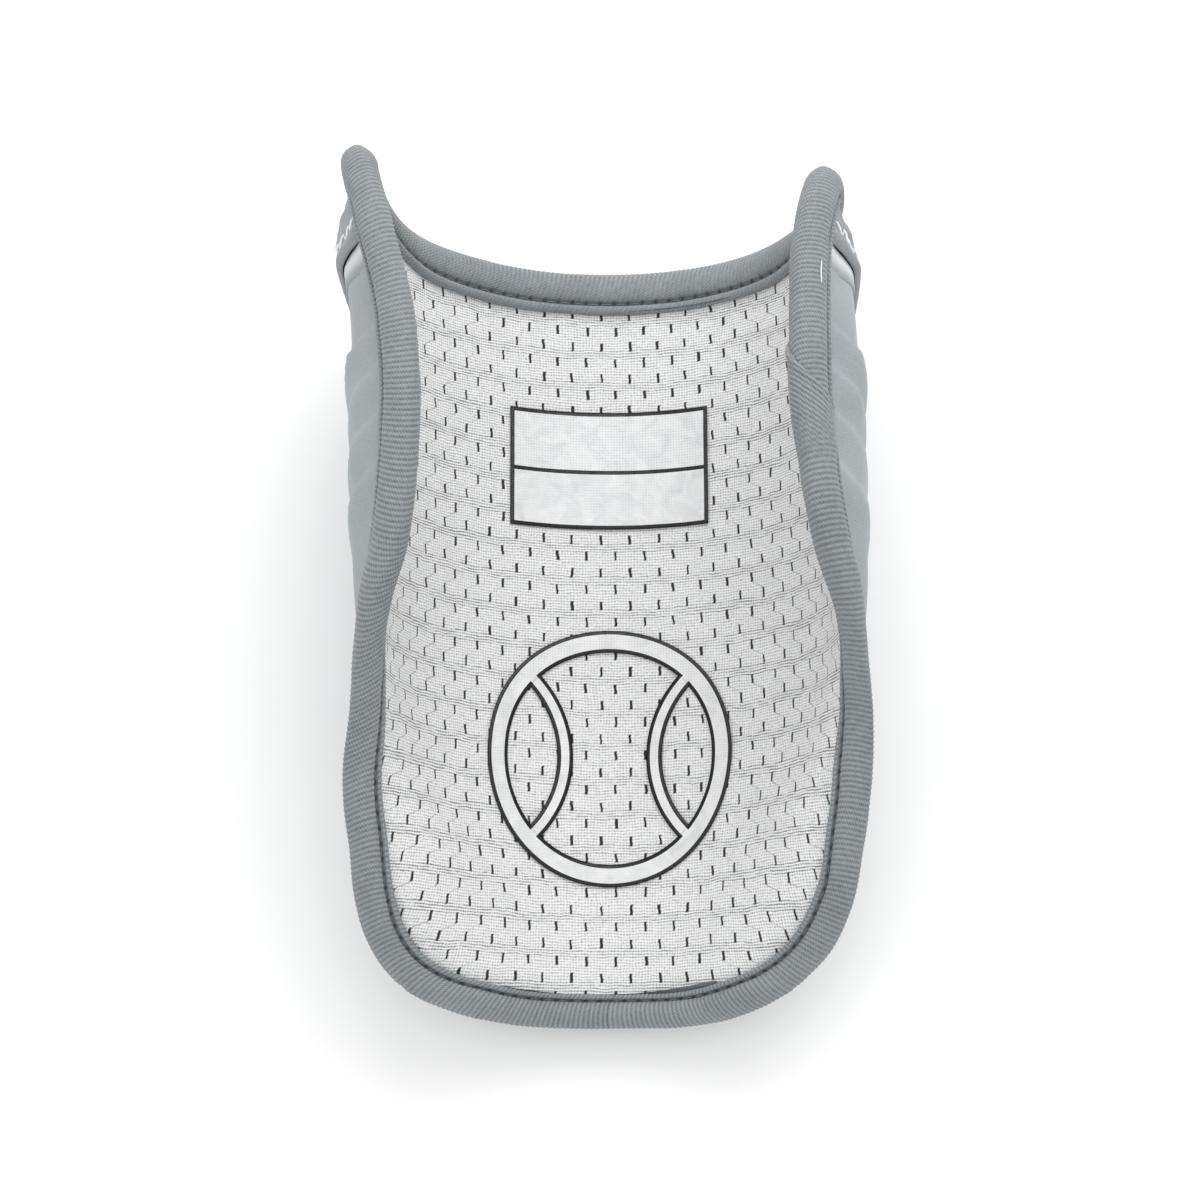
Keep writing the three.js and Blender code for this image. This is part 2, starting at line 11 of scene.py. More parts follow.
import bmesh
import bpy
import numpy as np
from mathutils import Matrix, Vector

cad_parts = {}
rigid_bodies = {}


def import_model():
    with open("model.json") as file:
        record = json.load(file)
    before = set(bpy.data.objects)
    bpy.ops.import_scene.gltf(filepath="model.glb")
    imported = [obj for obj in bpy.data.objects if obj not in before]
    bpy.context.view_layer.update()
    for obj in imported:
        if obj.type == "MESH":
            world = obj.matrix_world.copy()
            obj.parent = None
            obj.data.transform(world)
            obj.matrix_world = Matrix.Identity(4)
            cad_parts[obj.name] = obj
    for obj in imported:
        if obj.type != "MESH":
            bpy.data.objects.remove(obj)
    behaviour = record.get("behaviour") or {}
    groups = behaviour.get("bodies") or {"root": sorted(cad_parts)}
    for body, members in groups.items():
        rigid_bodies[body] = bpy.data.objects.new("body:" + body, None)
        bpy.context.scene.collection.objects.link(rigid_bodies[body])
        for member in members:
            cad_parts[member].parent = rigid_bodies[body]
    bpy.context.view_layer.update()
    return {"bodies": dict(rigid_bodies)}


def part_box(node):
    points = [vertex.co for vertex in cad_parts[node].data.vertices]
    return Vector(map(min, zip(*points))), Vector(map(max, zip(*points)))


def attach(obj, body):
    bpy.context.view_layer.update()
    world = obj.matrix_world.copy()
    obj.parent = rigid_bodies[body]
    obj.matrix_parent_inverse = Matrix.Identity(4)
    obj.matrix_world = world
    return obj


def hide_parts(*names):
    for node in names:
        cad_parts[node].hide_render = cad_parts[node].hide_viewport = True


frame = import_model()
BODY = next(iter(frame["bodies"]))
MM = 0.001

# Driving sizes, as in the part
GUARD_LENGTH = 180
HALF_GIRTH = 105
ARM_RADIUS = 49
LIP_ROLL = 20
ROLL_FADE = (0.25, 0.42)
LINING_THICKNESS = 1.0
LINING_PINCH = 0.4
WALL_THICKNESS = 7.2
EDGE_THICKNESS = 3.4
PINCH_WIDTH = 10
DOME_RISE = 3.6
DOME_LENGTH = 30
DOME_WIDTH = 30
DOME_PLACE = 0.3
PRESSED_FLAT = 1.4
CLEARANCE = 0.3
TAPE_COVER = 5.4
RING_INSET = 6.6
YOKE_DROP = 52
YOKE_WING_DROP = 7.5
YOKE_CURVE = 1.5
YOKE_RECESS = 1.1
FACING_REACH = 9.0
FACING_RUN = 24
STEP_START = 22
STEP_PITCH = 10
STEP_RISE = 1.7
STEP_COUNT = 4
FILM_GAP = 0.4
LABEL_SIZE = (48.5, 28.5)
LABEL_ALONG = 0.717 * GUARD_LENGTH
EMBLEM_RADIUS = 30
EMBLEM_BAND = 5.2
SEAM_BAND = 3.7
SEAM_SPREAD = 1.42
EMBLEM_ALONG = 0.336 * GUARD_LENGTH

# Sections up the arm. along and rise are shares of the length, radius of the arm's radius, roll and
# ease of the lip's roll; steepest is in degrees, and lean is sideways for each mm of height.
SECTION_COLUMNS = ("along", "radius", "steepest", "roll", "ease", "rise", "lean")
SECTIONS = np.array((
    (-0.1, 1.4, 24, 0, 2.5, 0.02, -0.065),
    (0.0, 1.15, 26, 0, 2.5, 0.009, -0.065),
    (0.06, 0.66, 34, 1.0, 2.5, 0.002, -0.05),
    (0.15, 0.7, 47, 0.95, 1.9, 0, -0.02),
    (0.27, 0.885, 60, 0.8, 1.5, 0, -0.015),
    (0.35, 0.955, 71, 0.5, 1.5, 0, 0.006),
    (0.43, 0.99, 84, 0.1, 1.5, 0, 0.004),
    (0.5, 0.992, 100, 0, 1.0, 0, 0.002),
    (0.6, 0.988, 140, 0, 1.0, 0, -0.005),
    (0.8, 0.99, 140, 0, 1.0, 0.001, -0.024),
    (0.9, 1.0, 140, 0, 1.0, 0.002, -0.05),
    (1.1, 1.04, 140, 0, 1.0, 0.004, -0.085),
))

# The pattern's edge from the forearm end to the upper edge's middle: name, girth and along as
# shares, and how much further up the arm the row lies on the left, below nought where it is lower.
EDGE = (
    ("end", 0, 0.008, 0),
    ("end_side", 0.25, 0.016, -0.002),
    ("corner", 0.425, 0.053, -0.011),
    ("forearm", 0.566, 0.127, -0.011),
    ("forearm_side", 0.641, 0.218, -0.005),
    ("flare", 0.702, 0.304, 0),
    ("elbow", 0.764, 0.37, 0),
    ("elbow_upper", 0.885, 0.485, 0),
    ("wing", 0.955, 0.585, 0),
    ("wing_middle", 0.985, 0.72, 0),
    ("wing_upper", 0.958, 0.85, 0),
    ("horn_front", 0.895, 0.955, 0.018),
    ("horn", 0.82, 0.998, 0.028),
    ("horn_back", 0.725, 0.994, 0.02),
    ("shoulder", 0.54, 0.983, 0.003),
    ("upper_side", 0.27, 0.976, 0),
    ("upper_middle", 0, 0.974, 0),
)
RIM_ROWS = 10  # From the end to the widest row, each further up the arm than the last
NO_ROLL = 1e6  # A girth past any edge, for a section without a rolled lip


def smoothstep(x, low, high):
    t = np.clip((x - low) / (high - low), 0, 1)
    return t * t * (3 - 2 * t)


def between(x, start, full, ending, end):
    """Rises from 0 to 1 over start to full, and falls back over ending to end."""
    return smoothstep(x, start, full) * (1 - smoothstep(x, ending, end))


def lerp(a, b, t):
    return a + (b - a) * t


def unit(vectors):
    return vectors / np.linalg.norm(vectors, axis=1)[:, None]


def lengths_along(points):
    """The length walked so far at each of a row of points."""
    return np.concatenate(([0], np.cumsum(np.linalg.norm(np.diff(points, axis=0), axis=1))))


def column(name, share):
    """A column of the section table at any height, with a smooth curve through its rows."""
    at, rows = SECTIONS[:, 0], SECTIONS[:, SECTION_COLUMNS.index(name)]
    last = len(at) - 1
    k = np.arange(len(at))
    up, down = np.minimum(k + 1, last), np.maximum(k - 1, 0)
    slopes = (rows[up] - rows[down]) / (at[up] - at[down])
    i = np.clip(np.searchsorted(at, share, side="right") - 1, 0, last - 1)
    gap, rise = at[i + 1] - at[i], rows[i + 1] - rows[i]
    t = np.clip((share - at[i]) / gap, 0, 1)
    way = np.sign(rise)
    a = way * np.clip(slopes[i] * way * gap, 0, 3 * abs(rise))
    b = way * np.clip(slopes[i + 1] * way * gap, 0, 3 * abs(rise))
    return rows[i] + rise * (3 * t**2 - 2 * t**3) + a * (t**3 - 2 * t**2 + t) + b * (t**3 - t**2)


def edge_walk(steps=60):
    """Closely spaced points of the closed edge, its lengths so far, and the length at each row."""
    right = [(name + "_right", girth, along) for name, girth, along, _ in EDGE]
    left = [(name + "_left", -girth, along + lift) for name, girth, along, lift in EDGE[-2:0:-1]]
    names = [row[0] for row in right + left]
    knots = np.array([row[1:] for row in right + left]) * (HALF_GIRTH, GUARD_LENGTH)
    before, after, later = (np.roll(knots, n, axis=0) for n in (1, -1, -2))
    d0, d1, d2 = (
        np.sqrt(np.linalg.norm(b - a, axis=1))[:, None]
        for a, b in ((before, knots), (knots, after), (after, later))
    )
    start = ((knots - before) / d0 - (after - before) / (d0 + d1) + (after - knots) / d1) * d1
    end = ((after - knots) / d1 - (later - knots) / (d1 + d2) + (later - after) / d2) * d1
    t = np.arange(steps)[None, :, None] / steps
    p, q, m, n = (x[:, None, :] for x in (knots, after, start, end))
    points = p + m * t + (3 * (q - p) - 2 * m - n) * t**2 + (2 * (p - q) + m + n) * t**3
    points = points.reshape(-1, 2)
    lengths = lengths_along(np.vstack((points, points[:1])))
    return points, lengths, {name: lengths[steps * i] for i, name in enumerate(names)}


EDGE_POINTS, EDGE_LENGTHS, EDGE_ROWS = edge_walk()
EDGE_LENGTH = EDGE_LENGTHS[-1]
EDGE_AHEAD = unit(np.roll(EDGE_POINTS, -1, axis=0) - np.roll(EDGE_POINTS, 1, axis=0))


def edge_point(at, inset=0):
    """Points of the edge at a length round it, moved inwards over the pattern by inset."""
    at = np.mod(at, EDGE_LENGTH)
    x, y, ax, ay = (
        np.interp(at, EDGE_LENGTHS, np.append(values, values[0]))
        for values in (*EDGE_POINTS.T, *EDGE_AHEAD.T)
    )
    return np.stack((x - ay * inset, y + ax * inset), axis=-1)


def distance_to_edge(girth, along):
    """Measured in batches of points, because all the distances at once would take much memory."""
    batches = max(1, len(girth) // 2000)
    found = [
        np.sqrt(((part[:, None, :] - EDGE_POINTS[None]) ** 2).sum(2).min(1))
        for part in np.array_split(np.stack((girth, along), axis=1), batches)
    ]
    return np.concatenate(found)


def rim_girth(share):
    """The girth at which the pattern ends, at any height below the widest."""
    rows = np.array([row[1:3] for row in EDGE[:RIM_ROWS]])
    return np.interp(share, rows[:, 1], rows[:, 0]) * HALF_GIRTH


def place(girth, along, depth):
    """Rolls points of the pattern round the arm. Millimetres, and 0 is under the spine."""
    share = along / GUARD_LENGTH
    radius = column("radius", share) * ARM_RADIUS
    rim = rim_girth(share)
    roll_run = column("roll", share) * LIP_ROLL * smoothstep(rim / HALF_GIRTH, *ROLL_FADE)
    roll_radius = column("ease", share) * LIP_ROLL
    reach = abs(girth)
    roll_start = np.where(roll_run > 0.01, np.maximum(rim - roll_run, 0), NO_ROLL)
    arc_end = np.minimum(radius * np.radians(column("steepest", share)), roll_start)
    arc_turn = np.minimum(reach, arc_end) / radius
    straight = np.clip(reach - arc_end, 0, np.maximum(roll_start - arc_end, 0))
    turn = arc_turn - np.maximum(reach - np.maximum(roll_start, arc_end), 0) / roll_radius
    across = (
        radius * np.sin(arc_turn)
        + straight * np.cos(arc_turn)
        + roll_radius * (np.sin(arc_turn) - np.sin(turn))
    )
    height = (
        radius * (1 - np.cos(arc_turn))
        + straight * np.sin(arc_turn)
        + roll_radius * (np.cos(turn) - np.cos(arc_turn))
    )
    spine = WALL_THICKNESS + DOME_RISE - PRESSED_FLAT + column("rise", share) * GUARD_LENGTH
    x = np.sign(girth) * (across + depth * np.sin(turn)) + height * column("lean", share)
    z = np.maximum(spine + height - depth * np.cos(turn), 0)
    return np.stack((x, along * np.ones_like(x), z), axis=-1)


# Where the frame's origin lies on the pattern, from the label's box
label_low, label_high = (np.array(corner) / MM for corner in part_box("name_label"))
corner_girths = np.array((-1, 1, -1, 1)) * LABEL_SIZE[0] / 2
corner_alongs = LABEL_ALONG + np.array((-1, -1, 1, 1)) * LABEL_SIZE[1] / 2
corners = place(corner_girths, corner_alongs, np.full(4, -FILM_GAP))
SHIFT = np.append(((label_low + label_high) / 2 - (corners.min(0) + corners.max(0)) / 2)[:2], 0)


def outer_depth(girth, along):
    """Depth of the shell's outer face: pinched at the edge, thicker over the elbow."""
    inside = smoothstep(distance_to_edge(girth, along) - RING_INSET, 0, PINCH_WIDTH)
    bump = ((girth / DOME_WIDTH) ** 2) + ((along - DOME_PLACE * GUARD_LENGTH) / DOME_LENGTH) ** 2
    return lerp(EDGE_THICKNESS, WALL_THICKNESS, inside) + DOME_RISE * np.exp(-bump) * inside


def chevron(girth, lower):
    """The yoke's lip, and each moulded step below it: a rounded V between the wings."""
    reach = abs(girth) / HALF_GIRTH
    return GUARD_LENGTH - lerp(YOKE_DROP, YOKE_WING_DROP, reach**YOKE_CURVE) - lower


def walked(points):
    """A function of a share from 0 to 1 that walks a row of points at an even pace."""
    lengths = lengths_along(points)
    return lambda share: np.stack(
        [np.interp(share * lengths[-1], lengths, points[:, k]) for k in (0, 1)], axis=-1
    )


def chevron_line(lower, inset):
    """The V from the left edge to the right, ending inset from each."""
    girth = np.linspace(-HALF_GIRTH, HALF_GIRTH, 1200)
    along = chevron(girth, lower)
    clear = distance_to_edge(girth, along) > inset
    middle = len(girth) // 2
    first = middle - np.argmin(clear[middle::-1]) + 1
    last = middle + np.argmin(clear[middle:]) - 1
    return walked(np.stack((girth, along), axis=1)[first:last + 1])


def edge_near(point, low, high, inset):
    """Where the edge, moved in by inset, passes nearest to a point."""
    at = np.linspace(low, high, 800)
    return at[np.argmin(np.linalg.norm(edge_point(at, inset) - point, axis=1))]


def blended(sides, u, v):
    """Points of a pattern bounded by four curves, blended from side to side."""
    lower, upper, left, right = sides
    u1, v1 = u[:, None], v[:, None]
    a, b, c, d = (f(np.array([t])) for f, t in ((lower, 0), (lower, 1), (upper, 0), (upper, 1)))
    return (
        lower(u) * (1 - v1) + upper(u) * v1 + left(v) * (1 - u1) + right(v) * u1
        - a * (1 - u1) * (1 - v1) - b * u1 * (1 - v1) - c * (1 - u1) * v1 - d * u1 * v1
    )


def outline_of(sides):
    """Points round a pattern that four curves bound."""
    share = np.linspace(0, 1, 200)
    lower, upper, left, right = sides
    return np.concatenate((lower(share), right(share), upper(share[::-1]), left(share[::-1])))


def stretch(start, end, inset):
    """A function of a share that walks the edge between two lengths round it."""
    return lambda share: edge_point(lerp(start, end, share), inset)


def whole_pattern(inset):
    """The lower, upper, left and right sides of the whole pattern, inset from its edge."""
    rows = EDGE_ROWS
    return (
        stretch(rows["corner_left"] - EDGE_LENGTH, rows["corner_right"], inset),
        stretch(rows["horn_left"], rows["horn_right"], inset),
        stretch(rows["corner_left"], rows["horn_left"], inset),
        stretch(rows["corner_right"], rows["horn_right"], inset),
    )


def yoke_pattern():
    """The sides of the pattern above the lip. Its other edges are caught under the tape."""
    caught = 1.2
    inset = TAPE_COVER - caught
    lip = chevron_line(0, inset)
    rows = EDGE_ROWS
    right = edge_near(lip(1), rows["elbow_right"], rows["horn_right"], inset)
    left = edge_near(lip(0), rows["elbow_left"], rows["horn_left"], inset)
    return (
        lip,
        stretch(rows["horn_left"], rows["horn_right"], inset),
        stretch(left, rows["horn_left"], inset),
        stretch(right, rows["horn_right"], inset),
    )


def value_noise(x, y, size, seed):
    """Smooth even noise from -1 to 1, the same each run, with bumps about size across. Its table of
    cells repeats, and far keeps every point clear of the table's start."""
    cells = 64
    far = 1000
    grid = np.random.default_rng(seed).uniform(-1, 1, (cells, cells))
    u, v = x / size + far, y / size + far
    i, j = np.floor(u).astype(int), np.floor(v).astype(int)
    s, t = smoothstep(u - i, 0, 1), smoothstep(v - j, 0, 1)
    corner = [[grid[(i + a) % cells, (j + b) % cells] for b in (0, 1)] for a in (0, 1)]
    return lerp(lerp(corner[0][0], corner[1][0], s), lerp(corner[0][1], corner[1][1], s), t)


# Making pieces
def grid_of(across, up):
    """A flat bmesh grid from -0.5 to 0.5 each way."""
    bm = bmesh.new()
    bmesh.ops.create_grid(bm, x_segments=across, y_segments=up, size=0.5)
    return bm


def coordinates(bm):
    return np.array([vertex.co for vertex in bm.verts])


def doubled(bm):
    """Extrudes a flat grid into a closed sheet, and gives its points. The copy's z is 1."""
    copied = bmesh.ops.extrude_face_region(bm, geom=bm.faces[:], use_keep_orig=True)
    lifted = [item for item in copied["geom"] if isinstance(item, bmesh.types.BMVert)]
    bmesh.ops.translate(bm, verts=lifted, vec=(0, 0, 1))
    return coordinates(bm)


def settle(bm, points):
    """Moves every point of a bmesh, given in pattern millimetres, to its place in the frame."""
    for vertex, point in zip(bm.verts, (points + SHIFT) * MM):
        vertex.co = point


def put_in_scene(name, data):
    made = bpy.data.objects.new(name, data)
    bpy.context.scene.collection.objects.link(made)
    return made


def finished(name, bm, pattern, material):
    """A smooth mesh object that rides on the guard and carries its pattern coordinates."""
    layer = bm.verts.layers.float_vector.new("pattern")
    for vertex, at in zip(bm.verts, pattern):
        vertex[layer] = Vector(at)
    bmesh.ops.remove_doubles(bm, verts=bm.verts, dist=1e-6)
    bmesh.ops.recalc_face_normals(bm, faces=bm.faces)
    mesh = bpy.data.meshes.new(name)
    bm.to_mesh(mesh)
    bm.free()
    mesh.polygons.foreach_set("use_smooth", [True] * len(mesh.polygons))
    mesh.materials.append(material)
    piece = put_in_scene(name, mesh)
    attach(piece, BODY)
    return piece


def two_faced(name, sides, across, up, inner, outer, material):
    """A closed sheet over a pattern: a grid whose extruded copy becomes its inner face. Its third
    pattern coordinate runs from 0 at the lower side to 1 at the upper."""
    bm = grid_of(across, up)
    at = doubled(bm)
    pattern = blended(sides, at[:, 0] + 0.5, at[:, 1] + 0.5)
    girth, along = pattern.T
    depth = np.where(at[:, 2] > 0.5, inner(girth, along), outer(girth, along))
    settle(bm, place(girth, along, depth))
    return finished(name, bm, np.stack((girth, along, at[:, 1] + 0.5), axis=1), material)


# Materials
def linear(code):
    """An sRGB hex colour as the linear values that the nodes take."""
    parts = [int(code[i:i + 2], 16) / 255 for i in (1, 3, 5)]
    return (*[x / 12.92 if x <= 0.04045 else ((x + 0.055) / 1.055) ** 2.4 for x in parts], 1)


def add(tree, kind, inputs=(), **settings):
    """Adds a node. Its kind may hold its operation too. Inputs are values, nodes or sockets, in order
    or by the socket's name. The Mix node's colour sockets share their names with others, so they go
    by number: 0 is the share, 6 and 7 the colours that it mixes, and output 2 what comes out."""
    kind, *operations = kind.split()
    made = tree.nodes.new("ShaderNode" + kind)
    for operation in operations:
        made.operation = operation
    for key, value in settings.items():
        setattr(made, key, value)
    pairs = inputs.items() if isinstance(inputs, dict) else enumerate(inputs)
    for key, value in pairs:
        if isinstance(value, bpy.types.Node):
            value = value.outputs[0]
        if isinstance(value, bpy.types.NodeSocket):
            tree.links.new(value, made.inputs[key])
        elif value is not None:
            made.inputs[key].default_value = value
    return made


def material_of(name, roughness, sheen=0.0, specular=0.5):
    """A principled material, its tree, its shader, and its girth, along and depth coordinates."""
    material = bpy.data.materials.new(name)
    material.use_nodes = True
    tree = material.node_tree
    shader = tree.nodes["Principled BSDF"]
    shader.inputs["Roughness"].default_value = roughness
    shader.inputs["Sheen Weight"].default_value = sheen
    shader.inputs["Sheen Roughness"].default_value = 0.5
    shader.inputs["Specular IOR Level"].default_value = specular
    pattern = add(tree, "Attribute", attribute_name="pattern")
    return material, tree, shader, pattern.outputs["Vector"]


def coloured(tree, shader, colour, height, distance):
    """Links a mixed colour to the shader, and a bump that is distance metres high for a height of 1."""
    bump = add(tree, "Bump", {"Height": height, "Distance": distance, "Strength": 1.0})
    tree.links.new(colour.outputs[2], shader.inputs["Base Color"])
    tree.links.new(bump.outputs[0], shader.inputs["Normal"])


def yarns(tree, way, pitch):
    """A wave from -1 to 1 across a knit's yarns, which lie a pitch apart along a coordinate."""
    turns = add(tree, "Math MULTIPLY", (way, 2 * math.pi / pitch))
    return add(tree, "Math COSINE", (turns,))


def apart(tree, value, middle):
    """How far a value lies from a middle, either way."""
    past = add(tree, "Math SUBTRACT", (value, middle))
    return add(tree, "Math ABSOLUTE", (past,))


def pinhole_mesh():
    """Polyester sports mesh, warp knitted: white, matt, with slits in staggered rows that carry
    painted shade, fine courses of thread, and three pulled courses between each pair of rows."""
    material, tree, shader, pattern = material_of("polyester_pinhole_mesh", 0.85, sheen=0.15)
    hole_pitch = 6.85
    row_pitch = 3.95
    courses_in_row = 6
    wales_in_pitch = 10
    slit_half_width = 0.29
    slit_half_length = 1.12
    first_hole = (1.95, 0.25, 0)
    wander = add(tree, "TexNoise", {"Vector": pattern, "Scale": 0.12, "Detail": 4.0, "Roughness": 0.6})
    pulled = add(tree, "VectorMath SUBTRACT", (wander.outputs["Color"], (0.5, 0.5, 0.5)))
    pulled = add(tree, "VectorMath MULTIPLY_ADD", (pulled, (1.6, 1.6, 0), first_hole))
    moved = add(tree, "VectorMath ADD", (pattern, pulled))
    axes = add(tree, "SeparateXYZ", (moved,))
    girth, along = axes.outputs["X"], axes.outputs["Y"]
    rows = add(tree, "Math DIVIDE", (along, row_pitch))
    row = add(tree, "Math FLOOR", (rows,))
    parity = add(tree, "Math FLOORED_MODULO", (row, 2.0))
    shifted = add(tree, "Math MULTIPLY_ADD", (parity, hole_pitch / 2, girth))
    in_row = add(tree, "Math FRACT", (rows,))
    v = add(tree, "Math MULTIPLY_ADD", (in_row, row_pitch, -row_pitch / 2))
    u = add(tree, "Math WRAP", (shifted, hole_pitch / 2, -hole_pitch / 2))
    holes = add(tree, "Math DIVIDE", (shifted, hole_pitch))
    hole = add(tree, "Math ADD", (holes, 0.5))
    hole = add(tree, "Math FLOOR", (hole,))
    cell = add(tree, "CombineXYZ", (hole, row))
    chance = add(tree, "TexWhiteNoise", {"Vector": cell}, noise_dimensions="2D")
    # The slits stand open along the spine and close towards the sides, where the wall is steep.
    reach = add(tree, "Math ABSOLUTE", (girth,))
    steep = add(tree, "MapRange", (reach, 30.0, 85.0, 1.0, 0.6))
    width = add(tree, "Math MULTIPLY_ADD", (chance, 0.4, 0.7))
    width = add(tree, "Math MULTIPLY", (width, steep))
    width = add(tree, "Math MULTIPLY", (width, slit_half_width))
    bend = add(tree, "Math MULTIPLY", (v, 3.1))
    bend = add(tree, "Math SINE", (bend,))
    crooked = add(tree, "Math MULTIPLY_ADD", (bend, 0.06, u))
    beside = add(tree, "Math ABSOLUTE", (crooked,))
    beside = add(tree, "Math DIVIDE", (beside, width))
    beyond = add(tree, "Math ABSOLUTE", (v,))
    beyond = add(tree, "Math DIVIDE", (beyond, slit_half_length))
    thin = add(tree, "MapRange", (beside, 0.7, 1.3, 1.0, 0.0), interpolation_type="SMOOTHSTEP")
    short = add(tree, "MapRange", (beyond, 0.85, 1.1, 1.0, 0.0), interpolation_type="SMOOTHSTEP")
    slit = add(tree, "Math MULTIPLY", (thin, short))
    # Courses of thread, drawn a little coarser than the real half millimetre.
    course = yarns(tree, rows, 1 / courses_in_row)
    wale = yarns(tree, girth, hole_pitch / wales_in_pitch)
    weave = add(tree, "Math MULTIPLY_ADD", (course, 1.6, wale))
    uneven = add(tree, "TexNoise", {"Vector": pattern, "Scale": 1.6, "Detail": 3.0})
    # Three courses are pulled taut between each pair of rows, and show most on the steep walls.
    pair = add(tree, "Math MULTIPLY_ADD", (rows, 0.5, 0.5))
    pair = add(tree, "Math FRACT", (pair,))
    near = apart(tree, pair, 0.5)
    near = add(tree, "MapRange", (near, 0.1, 0.2, 1.0, 0.0), interpolation_type="SMOOTHSTEP")
    lines = add(tree, "MapRange", (course, -1.0, 0.2, 1.0, 0.0), interpolation_type="SMOOTHSTEP")
    taut = add(tree, "Math MULTIPLY", (near, lines))
    drawn_out = add(tree, "VectorMath MULTIPLY", (pattern, (0.35, 1.6, 1.0)))
    broken = add(tree, "TexNoise", {"Vector": drawn_out, "Scale": 0.9, "Detail": 2.0})
    broken = add(tree, "MapRange", (broken, 0.38, 0.6, 0.1, 1.0))
    taut = add(tree, "Math MULTIPLY", (taut, broken))
    taut_by = add(tree, "MapRange", (reach, 12.0, 60.0, 0.3, 0.65))
    taut = add(tree, "Math MULTIPLY", (taut, taut_by))
    # A thread runs from the foot of each slit of the upper row to the head of its neighbour below,
    # away from the spine.
    side = add(tree, "Math SIGN", (girth,))
    link_run = add(tree, "Math MULTIPLY", (rows, 0.5))
    link_run = add(tree, "Math FRACT", (link_run,))
    link_step = add(tree, "MapRange", (link_run, 0.36, 0.64, 0.5, 0.0), interpolation_type="SMOOTHSTEP")
    link_by = add(tree, "Math MULTIPLY", (link_step, side))
    link_x = add(tree, "Math MULTIPLY_ADD", (link_by, -hole_pitch, girth))
    link_u = add(tree, "Math WRAP", (link_x, hole_pitch, 0.0))
    link_u = apart(tree, link_u, hole_pitch / 2)
    link = add(tree, "MapRange", (link_u, 0.1, 0.36, 1.0, 0.0), interpolation_type="SMOOTHSTEP")
    link_in = apart(tree, link_run, 0.5)
    link_in = add(tree, "MapRange", (link_in, 0.14, 0.18, 1.0, 0.0))
    link_show = add(tree, "MapRange", (reach, 10.0, 48.0, 0.0, 0.85))
    link_gap = add(tree, "MapRange", (broken, 0.1, 0.6, 0.2, 1.0))
    link = add(tree, "Math MULTIPLY", (link, link_in))
    link = add(tree, "Math MULTIPLY", (link, link_gap))
    link = add(tree, "Math MULTIPLY", (link, link_show))
    # Colour: white thread, greyer between courses and on the pulled ones, and painted shade down the
    # slits
    shade = add(tree, "MapRange", (weave, -2.6, 1.5, 1.0, 0.0))
    uneven = add(tree, "MapRange", (uneven, 0.3, 0.7, 0.3, 0.95))
    shade = add(tree, "Math MULTIPLY", (shade, uneven))
    shade = add(tree, "Math ADD", (shade, taut))
    shade = add(tree, "Math MAXIMUM", (shade, link), use_clamp=True)
    cloth = add(tree, "Mix", {0: shade, 6: linear("#ECECEC"), 7: linear("#7C7E80")}, data_type="RGBA")
    # Painted shade: each slit is coloured near black for the shade inside the hole.
    colour = add(tree, "Mix", {0: slit, 6: cloth.outputs[2], 7: linear("#18191A")}, data_type="RGBA")
    height = add(tree, "Math MULTIPLY", (weave, 0.12))
    height = add(tree, "Math MULTIPLY_ADD", (taut, -0.8, height))
    height = add(tree, "Math MULTIPLY_ADD", (slit, -2.0, height))
    coloured(tree, shader, colour, height, 0.25 * MM)
    return material


def knit_cloth(name, dark, light):
    """Smooth polyester knit laminated over moulded foam: soft grey, fine wales, a faint sheen."""
    material, tree, shader, pattern = material_of(name, 0.8, sheen=0.15)
    yarn_pitch = 0.7
    axes = add(tree, "SeparateXYZ", (pattern,))
    wale = yarns(tree, axes.outputs["X"], yarn_pitch)
    course = yarns(tree, axes.outputs["Y"], yarn_pitch)
    knit = add(tree, "Math MULTIPLY_ADD", (wale, 0.4, course))
    fibre = add(tree, "TexNoise", {"Vector": pattern, "Scale": 1.2, "Detail": 4.0})
    cloud = add(tree, "TexNoise", {"Vector": pattern, "Scale": 0.05, "Detail": 3.0})
    tone = add(tree, "Math MULTIPLY_ADD", (fibre, 0.5, cloud))
    tone = add(tree, "MapRange", (tone, 0.45, 1.05, 0.0, 1.0))
    colour = add(tree, "Mix", {0: tone, 6: linear(dark), 7: linear(light)}, data_type="RGBA")
    height = add(tree, "Math MULTIPLY_ADD", (knit, 0.12, fibre))
    coloured(tree, shader, colour, height, 0.08 * MM)
    return material


